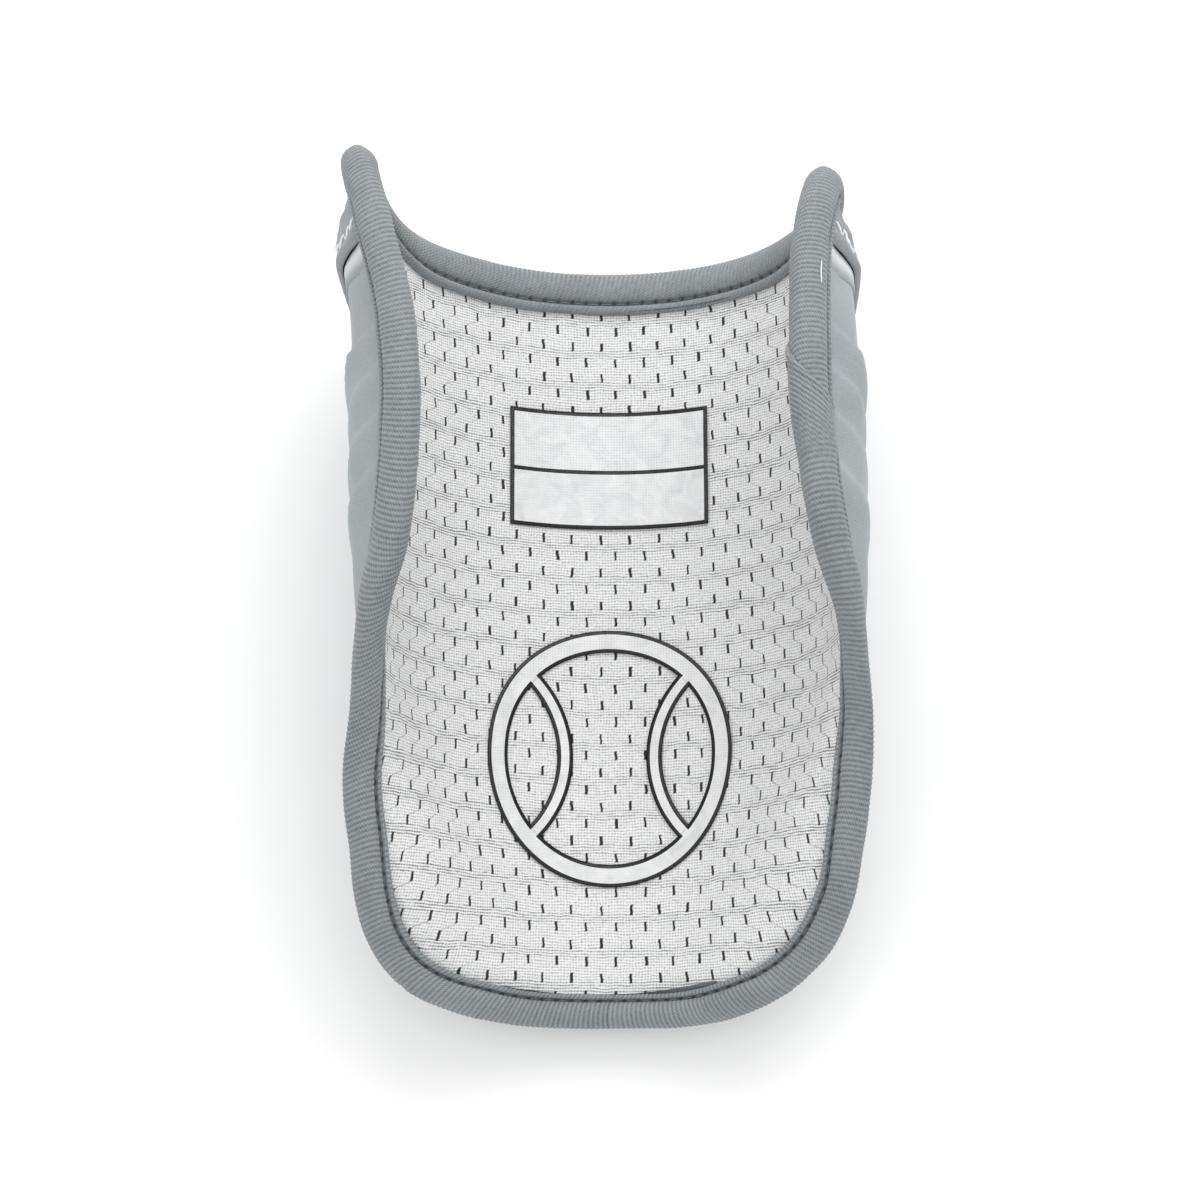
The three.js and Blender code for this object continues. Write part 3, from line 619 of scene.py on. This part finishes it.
def ribbed_tape():
    """Folded knit binding tape: grey ribs across it, with painted shade between them, each rib a row of
    small loops. Its pattern coordinates run along the tape, across it, and up its ribs. The ribs' height
    is below nought in the stitched groove, and lowest at its needle holes; painted shade darkens both."""
    material, tree, shader, pattern = material_of("ribbed_binding_knit", 0.85, sheen=0.15)
    loop_pitch = 0.62
    axes = add(tree, "SeparateXYZ", (pattern,))
    crest = axes.outputs["Z"]
    loop = add(tree, "Math MULTIPLY_ADD", (axes.outputs["X"], 0.5, axes.outputs["Y"]))
    loop = yarns(tree, loop, loop_pitch)
    fibre = add(tree, "TexNoise", {"Vector": pattern, "Scale": 1.1, "Detail": 4.0, "Roughness": 0.7})
    cloud = add(tree, "TexNoise", {"Vector": pattern, "Scale": 0.07, "Detail": 2.0})
    tone = add(tree, "Math MULTIPLY_ADD", (fibre, 1.2, -0.3))
    # Painted shade: the rib crests are lighter and the valleys between them darker.
    tone = add(tree, "Math MULTIPLY_ADD", (crest, 0.75, tone))
    tone = add(tree, "Math MULTIPLY_ADD", (cloud, 0.5, tone))
    tone = add(tree, "Math MULTIPLY_ADD", (loop, 0.14, tone))
    tone = add(tree, "MapRange", (tone, 0.3, 1.35, 0.0, 1.0))
    cloth = add(tree, "Mix", {0: tone, 6: linear("#5B6063"), 7: linear("#91979A")}, data_type="RGBA")
    # Painted shade in the stitched groove, darkest at the needle holes.
    groove_hole_shade = add(tree, "MapRange", (crest, -0.25, -1.7, 0.0, 0.75))
    colour = add(tree, "Mix", {0: groove_hole_shade, 6: cloth.outputs[2], 7: linear("#24272A")}, data_type="RGBA")
    height = add(tree, "Math MULTIPLY_ADD", (loop, 0.3, fibre))
    coloured(tree, shader, colour, height, 0.1 * MM)
    return material


def plain_thread(name, code):
    """Twisted polyester sewing thread: satin, with a fine lay along it."""
    material, tree, shader, pattern = material_of(name, 0.5, sheen=0.2)
    lay = add(tree, "TexNoise", {"Vector": pattern, "Scale": 3.0, "Detail": 3.0})
    tone = add(tree, "MapRange", (lay, 0.3, 0.7, 0.0, 1.0))
    light = linear(code)
    between_turns = (*[x * 0.8 for x in light[:3]], 1)
    colour = add(tree, "Mix", {0: tone, 6: between_turns, 7: light}, data_type="RGBA")
    coloured(tree, shader, colour, lay, 0.05 * MM)
    return material


def white_twill():
    """White cotton twill, woven with a fine slanted line: matt, and turning to the shell's grey along
    its lower edge."""
    material, tree, shader, pattern = material_of("white_twill", 0.8, sheen=0.2)
    line_pitch = 0.7
    axes = add(tree, "SeparateXYZ", (pattern,))
    slant = add(tree, "Math ADD", (axes.outputs["X"], axes.outputs["Y"]))
    slant = yarns(tree, slant, line_pitch)
    fade = add(tree, "MapRange", (axes.outputs["Z"], 0.1, 0.7, 0.0, 1.0),
               interpolation_type="SMOOTHSTEP")
    colour = add(tree, "Mix", {0: fade, 6: linear("#92989B"), 7: linear("#D8DADB")}, data_type="RGBA")
    coloured(tree, shader, colour, slant, 0.05 * MM)
    return material


def printed_film(name, ink_mask, thread_from):
    """Heat-transfer film pressed on the mesh: satin, near white, slightly crinkled, with black ink where
    ink_mask says, and a painted sheen of lighter and darker patches that follow the crinkles. The
    mesh's threads show through it above thread_from, and faintly below."""
    material, tree, shader, pattern = material_of(name, 0.42)
    course_pitch = 0.66
    wale_pitch = 0.69
    axes = add(tree, "SeparateXYZ", (pattern,))
    ink = ink_mask(tree, axes.outputs["X"], axes.outputs["Y"])
    crinkle_sheen = add(tree, "TexNoise", {"Vector": pattern, "Scale": 0.22, "Detail": 3.0, "Distortion": 0.6})
    course = yarns(tree, axes.outputs["Y"], course_pitch)
    wale = yarns(tree, axes.outputs["X"], wale_pitch)
    weave = add(tree, "Math ADD", (course, wale))
    through = add(tree, "Math GREATER_THAN", (axes.outputs["Y"], thread_from))
    through = add(tree, "Math MULTIPLY_ADD", (through, 0.12, 0.06))
    # Painted sheen: the crinkles make lighter and darker patches in the film's colour, as well as its
    # bump.
    tone = add(tree, "MapRange", (crinkle_sheen, 0.3, 0.7, 0.3, 1.0))
    tone = add(tree, "Math MULTIPLY_ADD", (weave, through, tone), use_clamp=True)
    film = add(tree, "Mix", {0: tone, 6: linear("#C4C5C6"), 7: linear("#DFDFE0")}, data_type="RGBA")
    colour = add(tree, "Mix", {0: ink, 6: film.outputs[2], 7: linear("#060607")}, data_type="RGBA")
    height = add(tree, "Math MULTIPLY_ADD", (weave, 0.03, crinkle_sheen))
    coloured(tree, shader, colour, height, 0.45 * MM)
    return material


def label_ink(tree, x, y):
    """The label's outline and the bar between its two fields."""
    line = 0.95
    bar_below = 0.45
    half_width, half_height = LABEL_SIZE[0] / 2 - line, LABEL_SIZE[1] / 2 - line
    out_x = add(tree, "Math GREATER_THAN", (apart(tree, x, 0.0), half_width))
    out_y = add(tree, "Math GREATER_THAN", (apart(tree, y, 0.0), half_height))
    on_bar = add(tree, "Math LESS_THAN", (apart(tree, y, -bar_below), line / 2))
    outline = add(tree, "Math MAXIMUM", (out_x, out_y))
    return add(tree, "Math MAXIMUM", (outline, on_bar))


def ball_ink(tree, x, y):
    """The outline of a ring and its two seam bands, as one shape."""
    line = 0.88
    ring_middle = EMBLEM_RADIUS - EMBLEM_BAND / 2
    inner = EMBLEM_RADIUS - EMBLEM_BAND
    place_at = add(tree, "CombineXYZ", (x, y))
    from_centre = add(tree, "VectorMath LENGTH", (place_at,)).outputs["Value"]
    from_ring = apart(tree, from_centre, ring_middle)
    depth = add(tree, "Math SUBTRACT", (from_ring, EMBLEM_BAND / 2))
    outside = add(tree, "Math SUBTRACT", (from_centre, ring_middle))
    for side in (-1, 1):
        centre = (side * inner * SEAM_SPREAD, 0, 0)
        away = add(tree, "VectorMath DISTANCE", (place_at, centre)).outputs["Value"]
        from_seam = apart(tree, away, inner)
        seam = add(tree, "Math SUBTRACT", (from_seam, SEAM_BAND / 2))
        seam = add(tree, "Math MAXIMUM", (seam, outside))
        depth = add(tree, "Math MINIMUM", (depth, seam))
    return add(tree, "Math GREATER_THAN", (depth, -line))


MESH = pinhole_mesh()
SHELL_KNIT = knit_cloth("laminated_knit", "#8D9396", "#9EA4A7")
YOKE_KNIT = knit_cloth("strap_knit", "#7E8487", "#8F9598")
TAPE = ribbed_tape()
TWILL = white_twill()
WHITE_THREAD = plain_thread("white_polyester_thread", "#EEF0F1")
GREY_THREAD = plain_thread("grey_polyester_thread", "#6E7579")
LABEL_FILM = printed_film("label_transfer_film", label_ink, -0.45)
BALL_FILM = printed_film("emblem_transfer_film", ball_ink, -12.0)


# Mesh lining, over the whole hollow
def lining_depth(girth, along):
    """The lining's face: pressed in a little under the tape, and slightly puckered elsewhere."""
    from_edge = distance_to_edge(girth, along)
    pinch = LINING_PINCH * (1 - smoothstep(from_edge, 0, RING_INSET))
    pucker = value_noise(girth, along, size=9, seed=3) * 0.18 * smoothstep(from_edge, 2, 12)
    return pinch + pucker


lining = two_faced(
    "pinhole_lining", whole_pattern(0.5), 120, 108, lining_depth,
    lambda girth, along: LINING_THICKNESS, MESH,
)
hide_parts("mesh_lining")


# Padded shell, with moulded steps like low shingles below the yoke
def relief(girth, along, from_edge):
    """Height of the moulded steps below the yoke: each rises steeply at its V-shaped upper edge and
    sinks slowly below it. The steps after the first are lower."""
    crest = 0.14
    lower_steps = 0.6
    step = (chevron(girth, 0) - along - STEP_START) / STEP_PITCH
    index = np.floor(step)
    into = step - index
    shape = smoothstep(into, 0, crest) * (1 - 0.95 * smoothstep(into, crest, 0.95))
    kept = np.select((index < 0, index == 0, index < STEP_COUNT), (0, 1, lower_steps), 0)
    return STEP_RISE * shape * kept * smoothstep(from_edge, TAPE_COVER, TAPE_COVER + 4)


def shell_outer(girth, along):
    """The shell's outer face. The yoke lies in a shallow recess of the padding."""
    from_edge = distance_to_edge(girth, along)
    inside = smoothstep(from_edge, 7, 14)
    soft = value_noise(girth, along, size=22, seed=5) * 0.2 * inside
    recess = YOKE_RECESS * inside * smoothstep(along - chevron(girth, 0), 0, 4)
    return outer_depth(girth, along) + relief(girth, along, from_edge) + soft - recess


shell = two_faced(
    "padded_shell_cloth", whole_pattern(0.6), 150, 190,
    lambda girth, along: LINING_THICKNESS + CLEARANCE, shell_outer, SHELL_KNIT,
)
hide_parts("padded_shell")


# Binding tape folded round the edge. Its profile runs from the bead on the lining, over the row of
# stitches and round the fold, to the bead on the back: [beyond the edge, depth], for the half that
# faces the hollow. The other half mirrors it through the wall's middle.
WALL_MIDDLE = EDGE_THICKNESS / 2
TAPE_CORE = (-2.0, WALL_MIDDLE)
TAPE_FACE = (
    (-5.3, 0.5), (-5.6, -0.5), (-5.4, -1.45), (-4.8, -1.85), (-4.25, -1.6),
    (-3.95, -0.85), (-3.55, -0.85), (-3.1, -1.6), (-2.4, -2.1), (-1.5, -2.3),
    (-0.5, -2.2), (0.6, -1.75), (1.6, -0.95), (2.4, 0.1), (2.9, 1.2),
)
TAPE_INSIDE = ((-5.2, 2.8), (0.3, 2.8), (0.3, 0.6), (-5.2, 0.6))
GROOVE = (5, 6)
RIB_WIDTH = 1.15
RIB_STATIONS = 4
STITCH_LENGTH = 3.4
RIB_TOTAL = round(EDGE_LENGTH / RIB_WIDTH)


def tape_profile():
    """The closed profile, and how many of its points are on the outside."""
    face = np.array(TAPE_FACE)
    back = face[::-1] * (1, -1) + (0, 2 * WALL_MIDDLE)
    return np.concatenate((face, back, TAPE_INSIDE)), len(face) * 2


def upper_edge(rim):
    """1 along the edge between the horns, and 0 elsewhere."""
    return smoothstep(rim[:, 1], 165, 173) * (1 - smoothstep(abs(rim[:, 0]), 45, 68))


def tape_points(at, beyond, depth):
    """Places on the folded tape: over the wall inside the edge, straight on past it. The tape lies
    further in along the upper edge, and less far round the forearm rim. It is pulled flatter beside
    the elbow, most on the right."""
    rim = edge_point(at, 0.0)
    upper = upper_edge(rim)
    beside_elbow = between(rim[:, 1], 46, 60, 74, 92)
    depth = lerp(depth, WALL_MIDDLE, beside_elbow * np.where(rim[:, 0] > 0, 0.34, 0.2))
    lower = 1 - smoothstep(rim[:, 1], 70, 95)
    over = edge_point(at, -np.minimum(beyond, 0) * (1 + 0.4 * upper - 0.17 * lower))
    on_wall = place(over[:, 0], over[:, 1], depth)
    near = edge_point(at, 1.0)
    middle = np.full(len(at), WALL_MIDDLE)
    ahead = unit(place(rim[:, 0], rim[:, 1], middle) - place(near[:, 0], near[:, 1], middle))
    return on_wall + ahead * np.maximum(beyond, 0)[:, None]


def slanted(at, across):
    """How far a rib has run along the tape at a place across it: the tape was pulled askew."""
    turn = 2 * math.pi * at / EDGE_LENGTH
    slant = 0.16 + 0.12 * np.sin(turn * 3 + 1) + 0.1 * np.sin(turn * 5)
    bow = 0.035 * np.sin(turn * 2 + 2)
    return slant * across + bow * across**2


def binding():
    """The whole tape: a closed profile swept round the edge, with a rib to each few stations."""
    profile, shown = tape_profile()
    closed = len(profile)
    lengths = lengths_along(profile)
    fold = lengths[shown // 2] * 0.5 + lengths[shown // 2 - 1] * 0.5
    stations = RIB_TOTAL * RIB_STATIONS
    bm = grid_of(stations, closed)
    grid = coordinates(bm)
    station = np.rint((grid[:, 0] + 0.5) * stations).astype(int)
    index = np.rint((grid[:, 1] + 0.5) * closed).astype(int) % closed
    across = lengths[index] - fold
    phase = 2 * math.pi * (station % RIB_STATIONS) / RIB_STATIONS
    crest = 0.5 - 0.5 * np.cos(phase)
    flat_at = (station % stations) * EDGE_LENGTH / stations
    # Along the upper edge the ribs are pulled flat, apart from the fold.
    flat = 0.65 * upper_edge(edge_point(flat_at)) * smoothstep(abs(across), 3, 6)
    crest = lerp(crest, 0.5, flat)
    at = flat_at + slanted(flat_at, across)
    beyond, depth = profile[index].T
    # Ribs stand up from the tape, less in the stitched groove.
    away = unit(profile[index] - TAPE_CORE)
    seen = index < shown
    in_groove = np.isin(index, GROOVE) | np.isin(shown - 1 - index, GROOVE)
    rib = 0.2 * (crest - 0.5) * seen * np.where(in_groove, 0.4, 1)
    pulled = value_noise(flat_at, across, size=7, seed=11) * 0.14 * seen
    beyond, depth = beyond + away[:, 0] * (rib + pulled), depth + away[:, 1] * (rib + pulled)
    settle(bm, tape_points(at, beyond, depth))
    # The third pattern coordinate carries painted shade: lighter on the rib crests, darker between them,
    # darker still in the groove, and darkest at the needle holes.
    from_hole = abs((at / STITCH_LENGTH + 0.5) % 1 - 0.5) * STITCH_LENGTH
    hole_radius = 0.4
    holes = -0.6 - 1.3 * (from_hole < hole_radius)
    pattern = np.stack((flat_at, across, np.where(in_groove, holes, crest * seen)), axis=1)
    return finished("ribbed_edge_tape", bm, pattern, TAPE)


tape = binding()
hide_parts("edge_binding")


# The tape's end, lapped over its start on the right wing, with its cut end turned under askew
def tape_lap():
    """A second layer over the fold, from groove to groove. slant is how much further its turned end
    reaches on one face than on the other."""
    profile, shown = tape_profile()
    outline = profile[GROOVE[-1]:shown - GROOVE[-1]]
    lengths = lengths_along(outline)
    run = 26.0
    slant = 20.0
    start_above = 1.5
    steps = 150
    bm = grid_of(len(outline) - 1, steps)
    grid = doubled(bm)
    index = np.rint((grid[:, 0] + 0.5) * (len(outline) - 1)).astype(int)
    share = grid[:, 1] + 0.5
    across = lengths[index] / lengths[-1] - 0.5
    start = EDGE_ROWS["wing_middle_right"] + start_above
    foot = run - slanted(start - run, across * lengths[-1])
    back = lerp(foot, across * slant, share)
    at = start - back
    flat_at = at - slanted(at, across * lengths[-1])
    crest = 0.5 - 0.5 * np.cos(2 * math.pi * flat_at / RIB_WIDTH)
    point = outline[index]
    away = unit(point - TAPE_CORE)
    # The turned end is a soft roll, and the other end sinks into the tape.
    roll = 0.3 * between(share, 0.9, 0.96, 0.975, 1.0)
    top = -0.35 + 0.95 * smoothstep(share, 0.0, 0.6) + roll + 0.18 * (crest - 0.5)
    lift = np.where(grid[:, 2] > 0.5, -0.6, top)
    moved = point + away * lift[:, None]
    settle(bm, tape_points(at, moved[:, 0], moved[:, 1]))
    # Its third coordinate carries painted shade between the ribs, as on the tape.
    pattern = np.stack((flat_at, across * lengths[-1], crest), axis=1)
    return finished("tape_end_lap", bm, pattern, TAPE)


lap = tape_lap()
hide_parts("binding_lap")


# Strap yoke, a second layer of cloth with a rolled lower lip
STITCH_ROW = 5.0
STITCH_ARCH = 0.35
LEG_RADIUS = 0.34
RETURN_RADIUS = 0.12


def yoke_inner(girth, along):
    """The yoke's face against the shell: it stands off a little above the lip and more on the flanks
    of the horns, and the lip itself is turned in against the shell."""
    above = along - chevron(girth, 0)
    free = smoothstep(distance_to_edge(girth, along), 4, 11)
    lifted = 0.15 * (1 - smoothstep(above, 0, 14)) * free
    flank = smoothstep(abs(girth), 0.55 * HALF_GIRTH, 0.75 * HALF_GIRTH) * smoothstep(along, 153, 165)
    turned_in = 0.45 * (1 - smoothstep(above, 0.3, 2.2))
    return shell_outer(girth, along) + 0.08 + lifted + 1.7 * flank * free - turned_in


def yoke_outer(girth, along):
    """The yoke's outer face: a rolled lip, a furrow along the stitches, and cloth bunched up above."""
    above = along - chevron(girth, 0)
    body = 0.8 + 0.35 * between(above, 0, 1.2, 2.6, 4.4)
    edge = 0.3 * (1 - smoothstep(above, 0, 0.7))
    stitched = 0.3 * np.exp(-(((above - STITCH_ROW) / 1.6) ** 2))
    soft = value_noise(girth, along, size=16, seed=8) * 0.15
    bunched = value_noise(girth, along, size=3, seed=31) * 0.5 * smoothstep(along, 158, 168)
    return yoke_inner(girth, along) + body - edge - stitched + soft + bunched


yoke = two_faced(
    "yoke_cloth", yoke_pattern(), 150, 90, yoke_inner, yoke_outer, YOKE_KNIT
)
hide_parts("strap_yoke")


# Sewing threads: short round bars laid along the pattern
def arch(share, foot):
    """A stitch's height over the cloth: it dips in at both ends and stands up between them."""
    return foot + STITCH_ARCH * np.sin(np.pi * share)


def threads(name, rows, radius, material, points_of):
    """One mesh of stitches. Each row is a stitch's two ends, and points_of lays them on a piece."""
    segments = 6
    lay_scale = 4
    bm = bmesh.new()
    for _ in rows:
        bmesh.ops.create_grid(bm, x_segments=segments, y_segments=segments, size=0.5)
    grid = coordinates(bm)
    each = len(grid) // len(rows)
    moved = []
    for k, (ends, thickness) in enumerate(zip(rows, np.broadcast_to(radius, len(rows)))):
        part = grid[k * each:(k + 1) * each]
        turn, share = 2 * math.pi * part[:, 0], part[:, 1] + 0.5
        middle, outward = points_of(ends, share)
        ahead = unit(points_of(ends, share + 0.01)[0] - points_of(ends, share - 0.01)[0])
        across = np.cross(ahead, outward)
        swell = thickness * np.sqrt(np.maximum(1 - (2 * share - 1) ** 4, 0))
        around = across * np.cos(turn)[:, None] + outward * np.sin(turn)[:, None]
        moved.append(middle + around * swell[:, None])
    settle(bm, np.concatenate(moved))
    return finished(name, bm, grid * lay_scale, material)


def yoke_points(ends, share):
    """A stitch that stands in an arch on the yoke's outer face."""
    girth, along = (lerp(ends[0][k], ends[1][k], share) for k in (0, 1))
    depth = yoke_outer(girth, along) + arch(share, -0.15)
    low, high = place(girth, along, depth), place(girth, along, depth + 1)
    return low, high - low


def zigzag():
    """Zigzag stitches above the lip, from each wing to the spine: long legs and thin return legs."""
    pitch, half_width, lead = 2.6, 1.5, 1.3
    line = chevron_line(-STITCH_ROW, TAPE_COVER + 1.2)
    walk = line(np.linspace(0, 1, 600))
    half = lengths_along(walk)[-1] / 2
    count = round(half / pitch)
    legs, returns = [], []
    for side in (-1, 1):
        share = 0.5 + 0.5 * side * (1 - np.arange(count) / count)
        top = line(share) + (0, half_width)
        foot = line(share - side * 0.5 * lead / half) - (0, half_width)
        legs += list(zip(top, foot))
        returns += list(zip(foot, top[1:]))
    return legs, returns


legs, returns = zigzag()
yoke_thread = threads(
    "yoke_zigzag_thread", legs + returns, [LEG_RADIUS] * len(legs) + [RETURN_RADIUS] * len(returns),
    WHITE_THREAD, yoke_points,
)


def tape_stitches():
    """Running stitches in the groove, on both faces of the tape."""
    count = math.floor(EDGE_LENGTH / STITCH_LENGTH)
    return [
        ((i + 0.15) * STITCH_LENGTH, (i + 0.85) * STITCH_LENGTH, face)
        for face in (0, 1) for i in range(count)
    ]


def groove_points(ends, share):
    """A stitch in the tape's groove, on the face of the hollow or, where face is 1, on the back."""
    start, end, face = ends
    beyond, depth = (np.array(TAPE_FACE[GROOVE[0]]) + TAPE_FACE[GROOVE[1]]) / 2
    if face:
        depth = 2 * WALL_MIDDLE - depth
    out = 1 if face else -1
    at = lerp(start, end, share)
    lift = arch(share, -0.2)
    low = tape_points(at, np.full(len(at), beyond), depth + out * lift)
    high = tape_points(at, np.full(len(at), beyond), depth + out * (lift + 1))
    return low, high - low


threads(
    "tape_seam_thread", tape_stitches(), 0.17, GREY_THREAD, groove_points
)


STRAY_ENDS = (-4.0, 2.5)
STRAY_DEPTH = 5.6


def stray_points(ends, share):
    """A loose end of white thread, slightly curled, that lies on the right wing's tape."""
    at = EDGE_ROWS["wing_upper_right"] + lerp(*ends, share)
    beyond = 0.1 + 0.5 * np.sin(2.5 * share)
    low, high = (
        tape_points(at, beyond, np.full(len(at), depth)) for depth in (STRAY_DEPTH, STRAY_DEPTH + 1)
    )
    return low, high - low


threads(
    "loose_thread_end", [STRAY_ENDS], 0.15, WHITE_THREAD, stray_points
)


# White facing slivers that come out from under the yoke's lip beside the tape
def facing_outer(girth, along):
    """The facing's face thins away to the shell's towards its lower edge."""
    below = (chevron(girth, 0) - along) / FACING_REACH
    return shell_outer(girth, along) + 0.35 - 0.5 * smoothstep(below, 0.25, 0.95)


def facing(side, name):
    """A sliver between the yoke's lip and a lower curve that runs up to meet it at the tip."""
    inset = TAPE_COVER - 1.0
    end = 1.0 if side > 0 else 0.0
    low_end, high_end = chevron_line(FACING_REACH, inset)(end), chevron_line(-1, inset)(end)
    tip = high_end[0] - side * FACING_RUN
    run = np.linspace(0, 1, 24)[::side]
    low_girth, high_girth = lerp(tip, low_end[0], run), lerp(tip, high_end[0], run)
    low_row = np.stack((low_girth, chevron(low_girth, lerp(0.4, FACING_REACH, run**1.3))), axis=1)
    high_row = np.stack((high_girth, chevron(high_girth, -1)), axis=1)
    lower, upper = walked(low_row), walked(high_row)
    ends = [walked(np.array((lower(share), upper(share)))) for share in (0.0, 1.0)]
    return two_faced(
        name, (lower, upper, *ends), 24, 14,
        lambda girth, along: shell_outer(girth, along) - 0.3, facing_outer, TWILL,
    )


facings = [facing(-1, "facing_sliver_left"), facing(1, "facing_sliver_right")]
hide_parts("facing_left")
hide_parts("facing_right")
yoke_cut = outline_of(yoke_pattern())


# Films on the lining
FILM_STANDS = 0.15
FILM_THICKNESS = 0.25


def film_face(girth, along):
    """The film's upper face, crinkled a little with the mesh under it."""
    return -FILM_GAP - FILM_STANDS + value_noise(girth, along, size=6, seed=21) * 0.06


def film(name, bm, centre_along, material):
    """Lays a flat bmesh, drawn in pattern millimetres round its own centre, on the lining."""
    x, y, z = doubled(bm).T
    depth = film_face(x, y) + np.where(z > 0.5, FILM_THICKNESS, 0)
    settle(bm, place(x, y + centre_along, depth))
    return finished(name, bm, np.stack((x, y, z), axis=1), material)


def label_sheet():
    bm = grid_of(60, 36)
    bmesh.ops.scale(bm, verts=bm.verts, vec=(*LABEL_SIZE, 1))
    return bm


def ball_sheet():
    """A ring and two seam bands, each a grid bent round its centre. The bands end under the ring."""
    inner = EMBLEM_RADIUS - EMBLEM_BAND
    centre = inner * SEAM_SPREAD
    overlap = 0.3
    bm = grid_of(144, 6)
    ring_points = len(bm.verts)
    for _ in range(2):
        bmesh.ops.create_grid(bm, x_segments=56, y_segments=5, size=0.5)
    x, y, _ = coordinates(bm).T
    points = np.zeros((len(x), 2))
    on_ring = np.arange(len(x)) < ring_points
    radius = inner + EMBLEM_BAND * (y + 0.5)
    angle = 2 * math.pi * x
    points[on_ring] = np.stack((np.cos(angle), np.sin(angle)), 1)[on_ring] * radius[on_ring][:, None]
    band_points = (len(x) - ring_points) // 2
    for k, side in enumerate((-1, 1)):
        part = slice(ring_points + k * band_points, ring_points + (k + 1) * band_points)
        radius = inner + SEAM_BAND * y[part]
        widest = np.arccos((centre**2 + radius**2 - (inner + overlap) ** 2) / (2 * centre * radius))
        angle = 2 * widest * x[part]
        across = side * (centre - radius * np.cos(angle))
        points[part] = np.stack((across, side * -radius * np.sin(angle)), 1)
    for vertex, point in zip(bm.verts, points):
        vertex.co = (*point, 0)
    bmesh.ops.remove_doubles(bm, verts=bm.verts, dist=1e-4)
    return bm


label = film("label_film", label_sheet(), LABEL_ALONG, LABEL_FILM)
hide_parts("name_label")
ball = film("ball_film", ball_sheet(), EMBLEM_ALONG, BALL_FILM)
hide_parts("ball_emblem")


# Floor, lights and camera
FLOOR_HALF_WIDTH = 3
FLOOR_DROP = 0.0002
WORLD_STRENGTH = 0.95
LIGHTS = (  # Name, place, diameter and power
    ("key", (0.12, 0.55, 0.6), 0.6, 3.2),
    ("fill", (-0.3, -0.1, 1.0), 0.9, 1.2),
)
LIGHTS_AIM = Vector((0, 0, 0.03))


def studio():
    """White paper under the guard, an even white surround, and two broad soft lights."""
    floor_mesh = bpy.data.meshes.new("floor")
    bm = bmesh.new()
    bmesh.ops.create_grid(bm, x_segments=1, y_segments=1, size=FLOOR_HALF_WIDTH)
    bmesh.ops.translate(bm, verts=bm.verts[:], vec=(0, 0, -FLOOR_DROP))
    bm.to_mesh(floor_mesh)
    bm.free()
    floor = put_in_scene("floor", floor_mesh)
    paper = bpy.data.materials.new("white_backdrop_paper")
    paper.use_nodes = True
    shader = paper.node_tree.nodes["Principled BSDF"]
    shader.inputs["Base Color"].default_value = linear("#F6F6F6")
    shader.inputs["Roughness"].default_value = 0.9
    floor_mesh.materials.append(paper)
    world = bpy.data.worlds.new("studio")
    world.use_nodes = True
    surround = world.node_tree.nodes["Background"]
    surround.inputs["Color"].default_value = linear("#FFFFFF")
    surround.inputs["Strength"].default_value = WORLD_STRENGTH
    bpy.context.scene.world = world
    for name, at, size, power in LIGHTS:
        light = bpy.data.lights.new(name, "AREA")
        light.shape = "DISK"
        light.size = size
        light.energy = power
        lamp = put_in_scene(name, light)
        lamp.location = at
        lamp.rotation_euler = (LIGHTS_AIM - Vector(at)).to_track_quat("-Z", "Y").to_euler()


def photo_camera():
    """The photo looks down from 13 degrees off the vertical, 650 mm away, at 4.45 pixels a mm."""
    tilt = math.radians(13)
    away = 0.650
    target = Vector((-0.0002, -0.0009, 0.035))
    pixels_per_mm = 4.45
    photo_pixels = 1200
    data = bpy.data.cameras.new("photo_camera")
    data.sensor_width = 36
    data.lens = data.sensor_width * away / (photo_pixels / pixels_per_mm * MM)
    camera = put_in_scene("photo_camera", data)
    camera.location = target + away * Vector((0, -math.sin(tilt), math.cos(tilt)))
    camera.rotation_euler = (tilt, 0, 0)
    bpy.context.scene.camera = camera


studio()
photo_camera()
bpy.context.scene.view_settings.view_transform = "Standard"

bpy.context.view_layer.update()
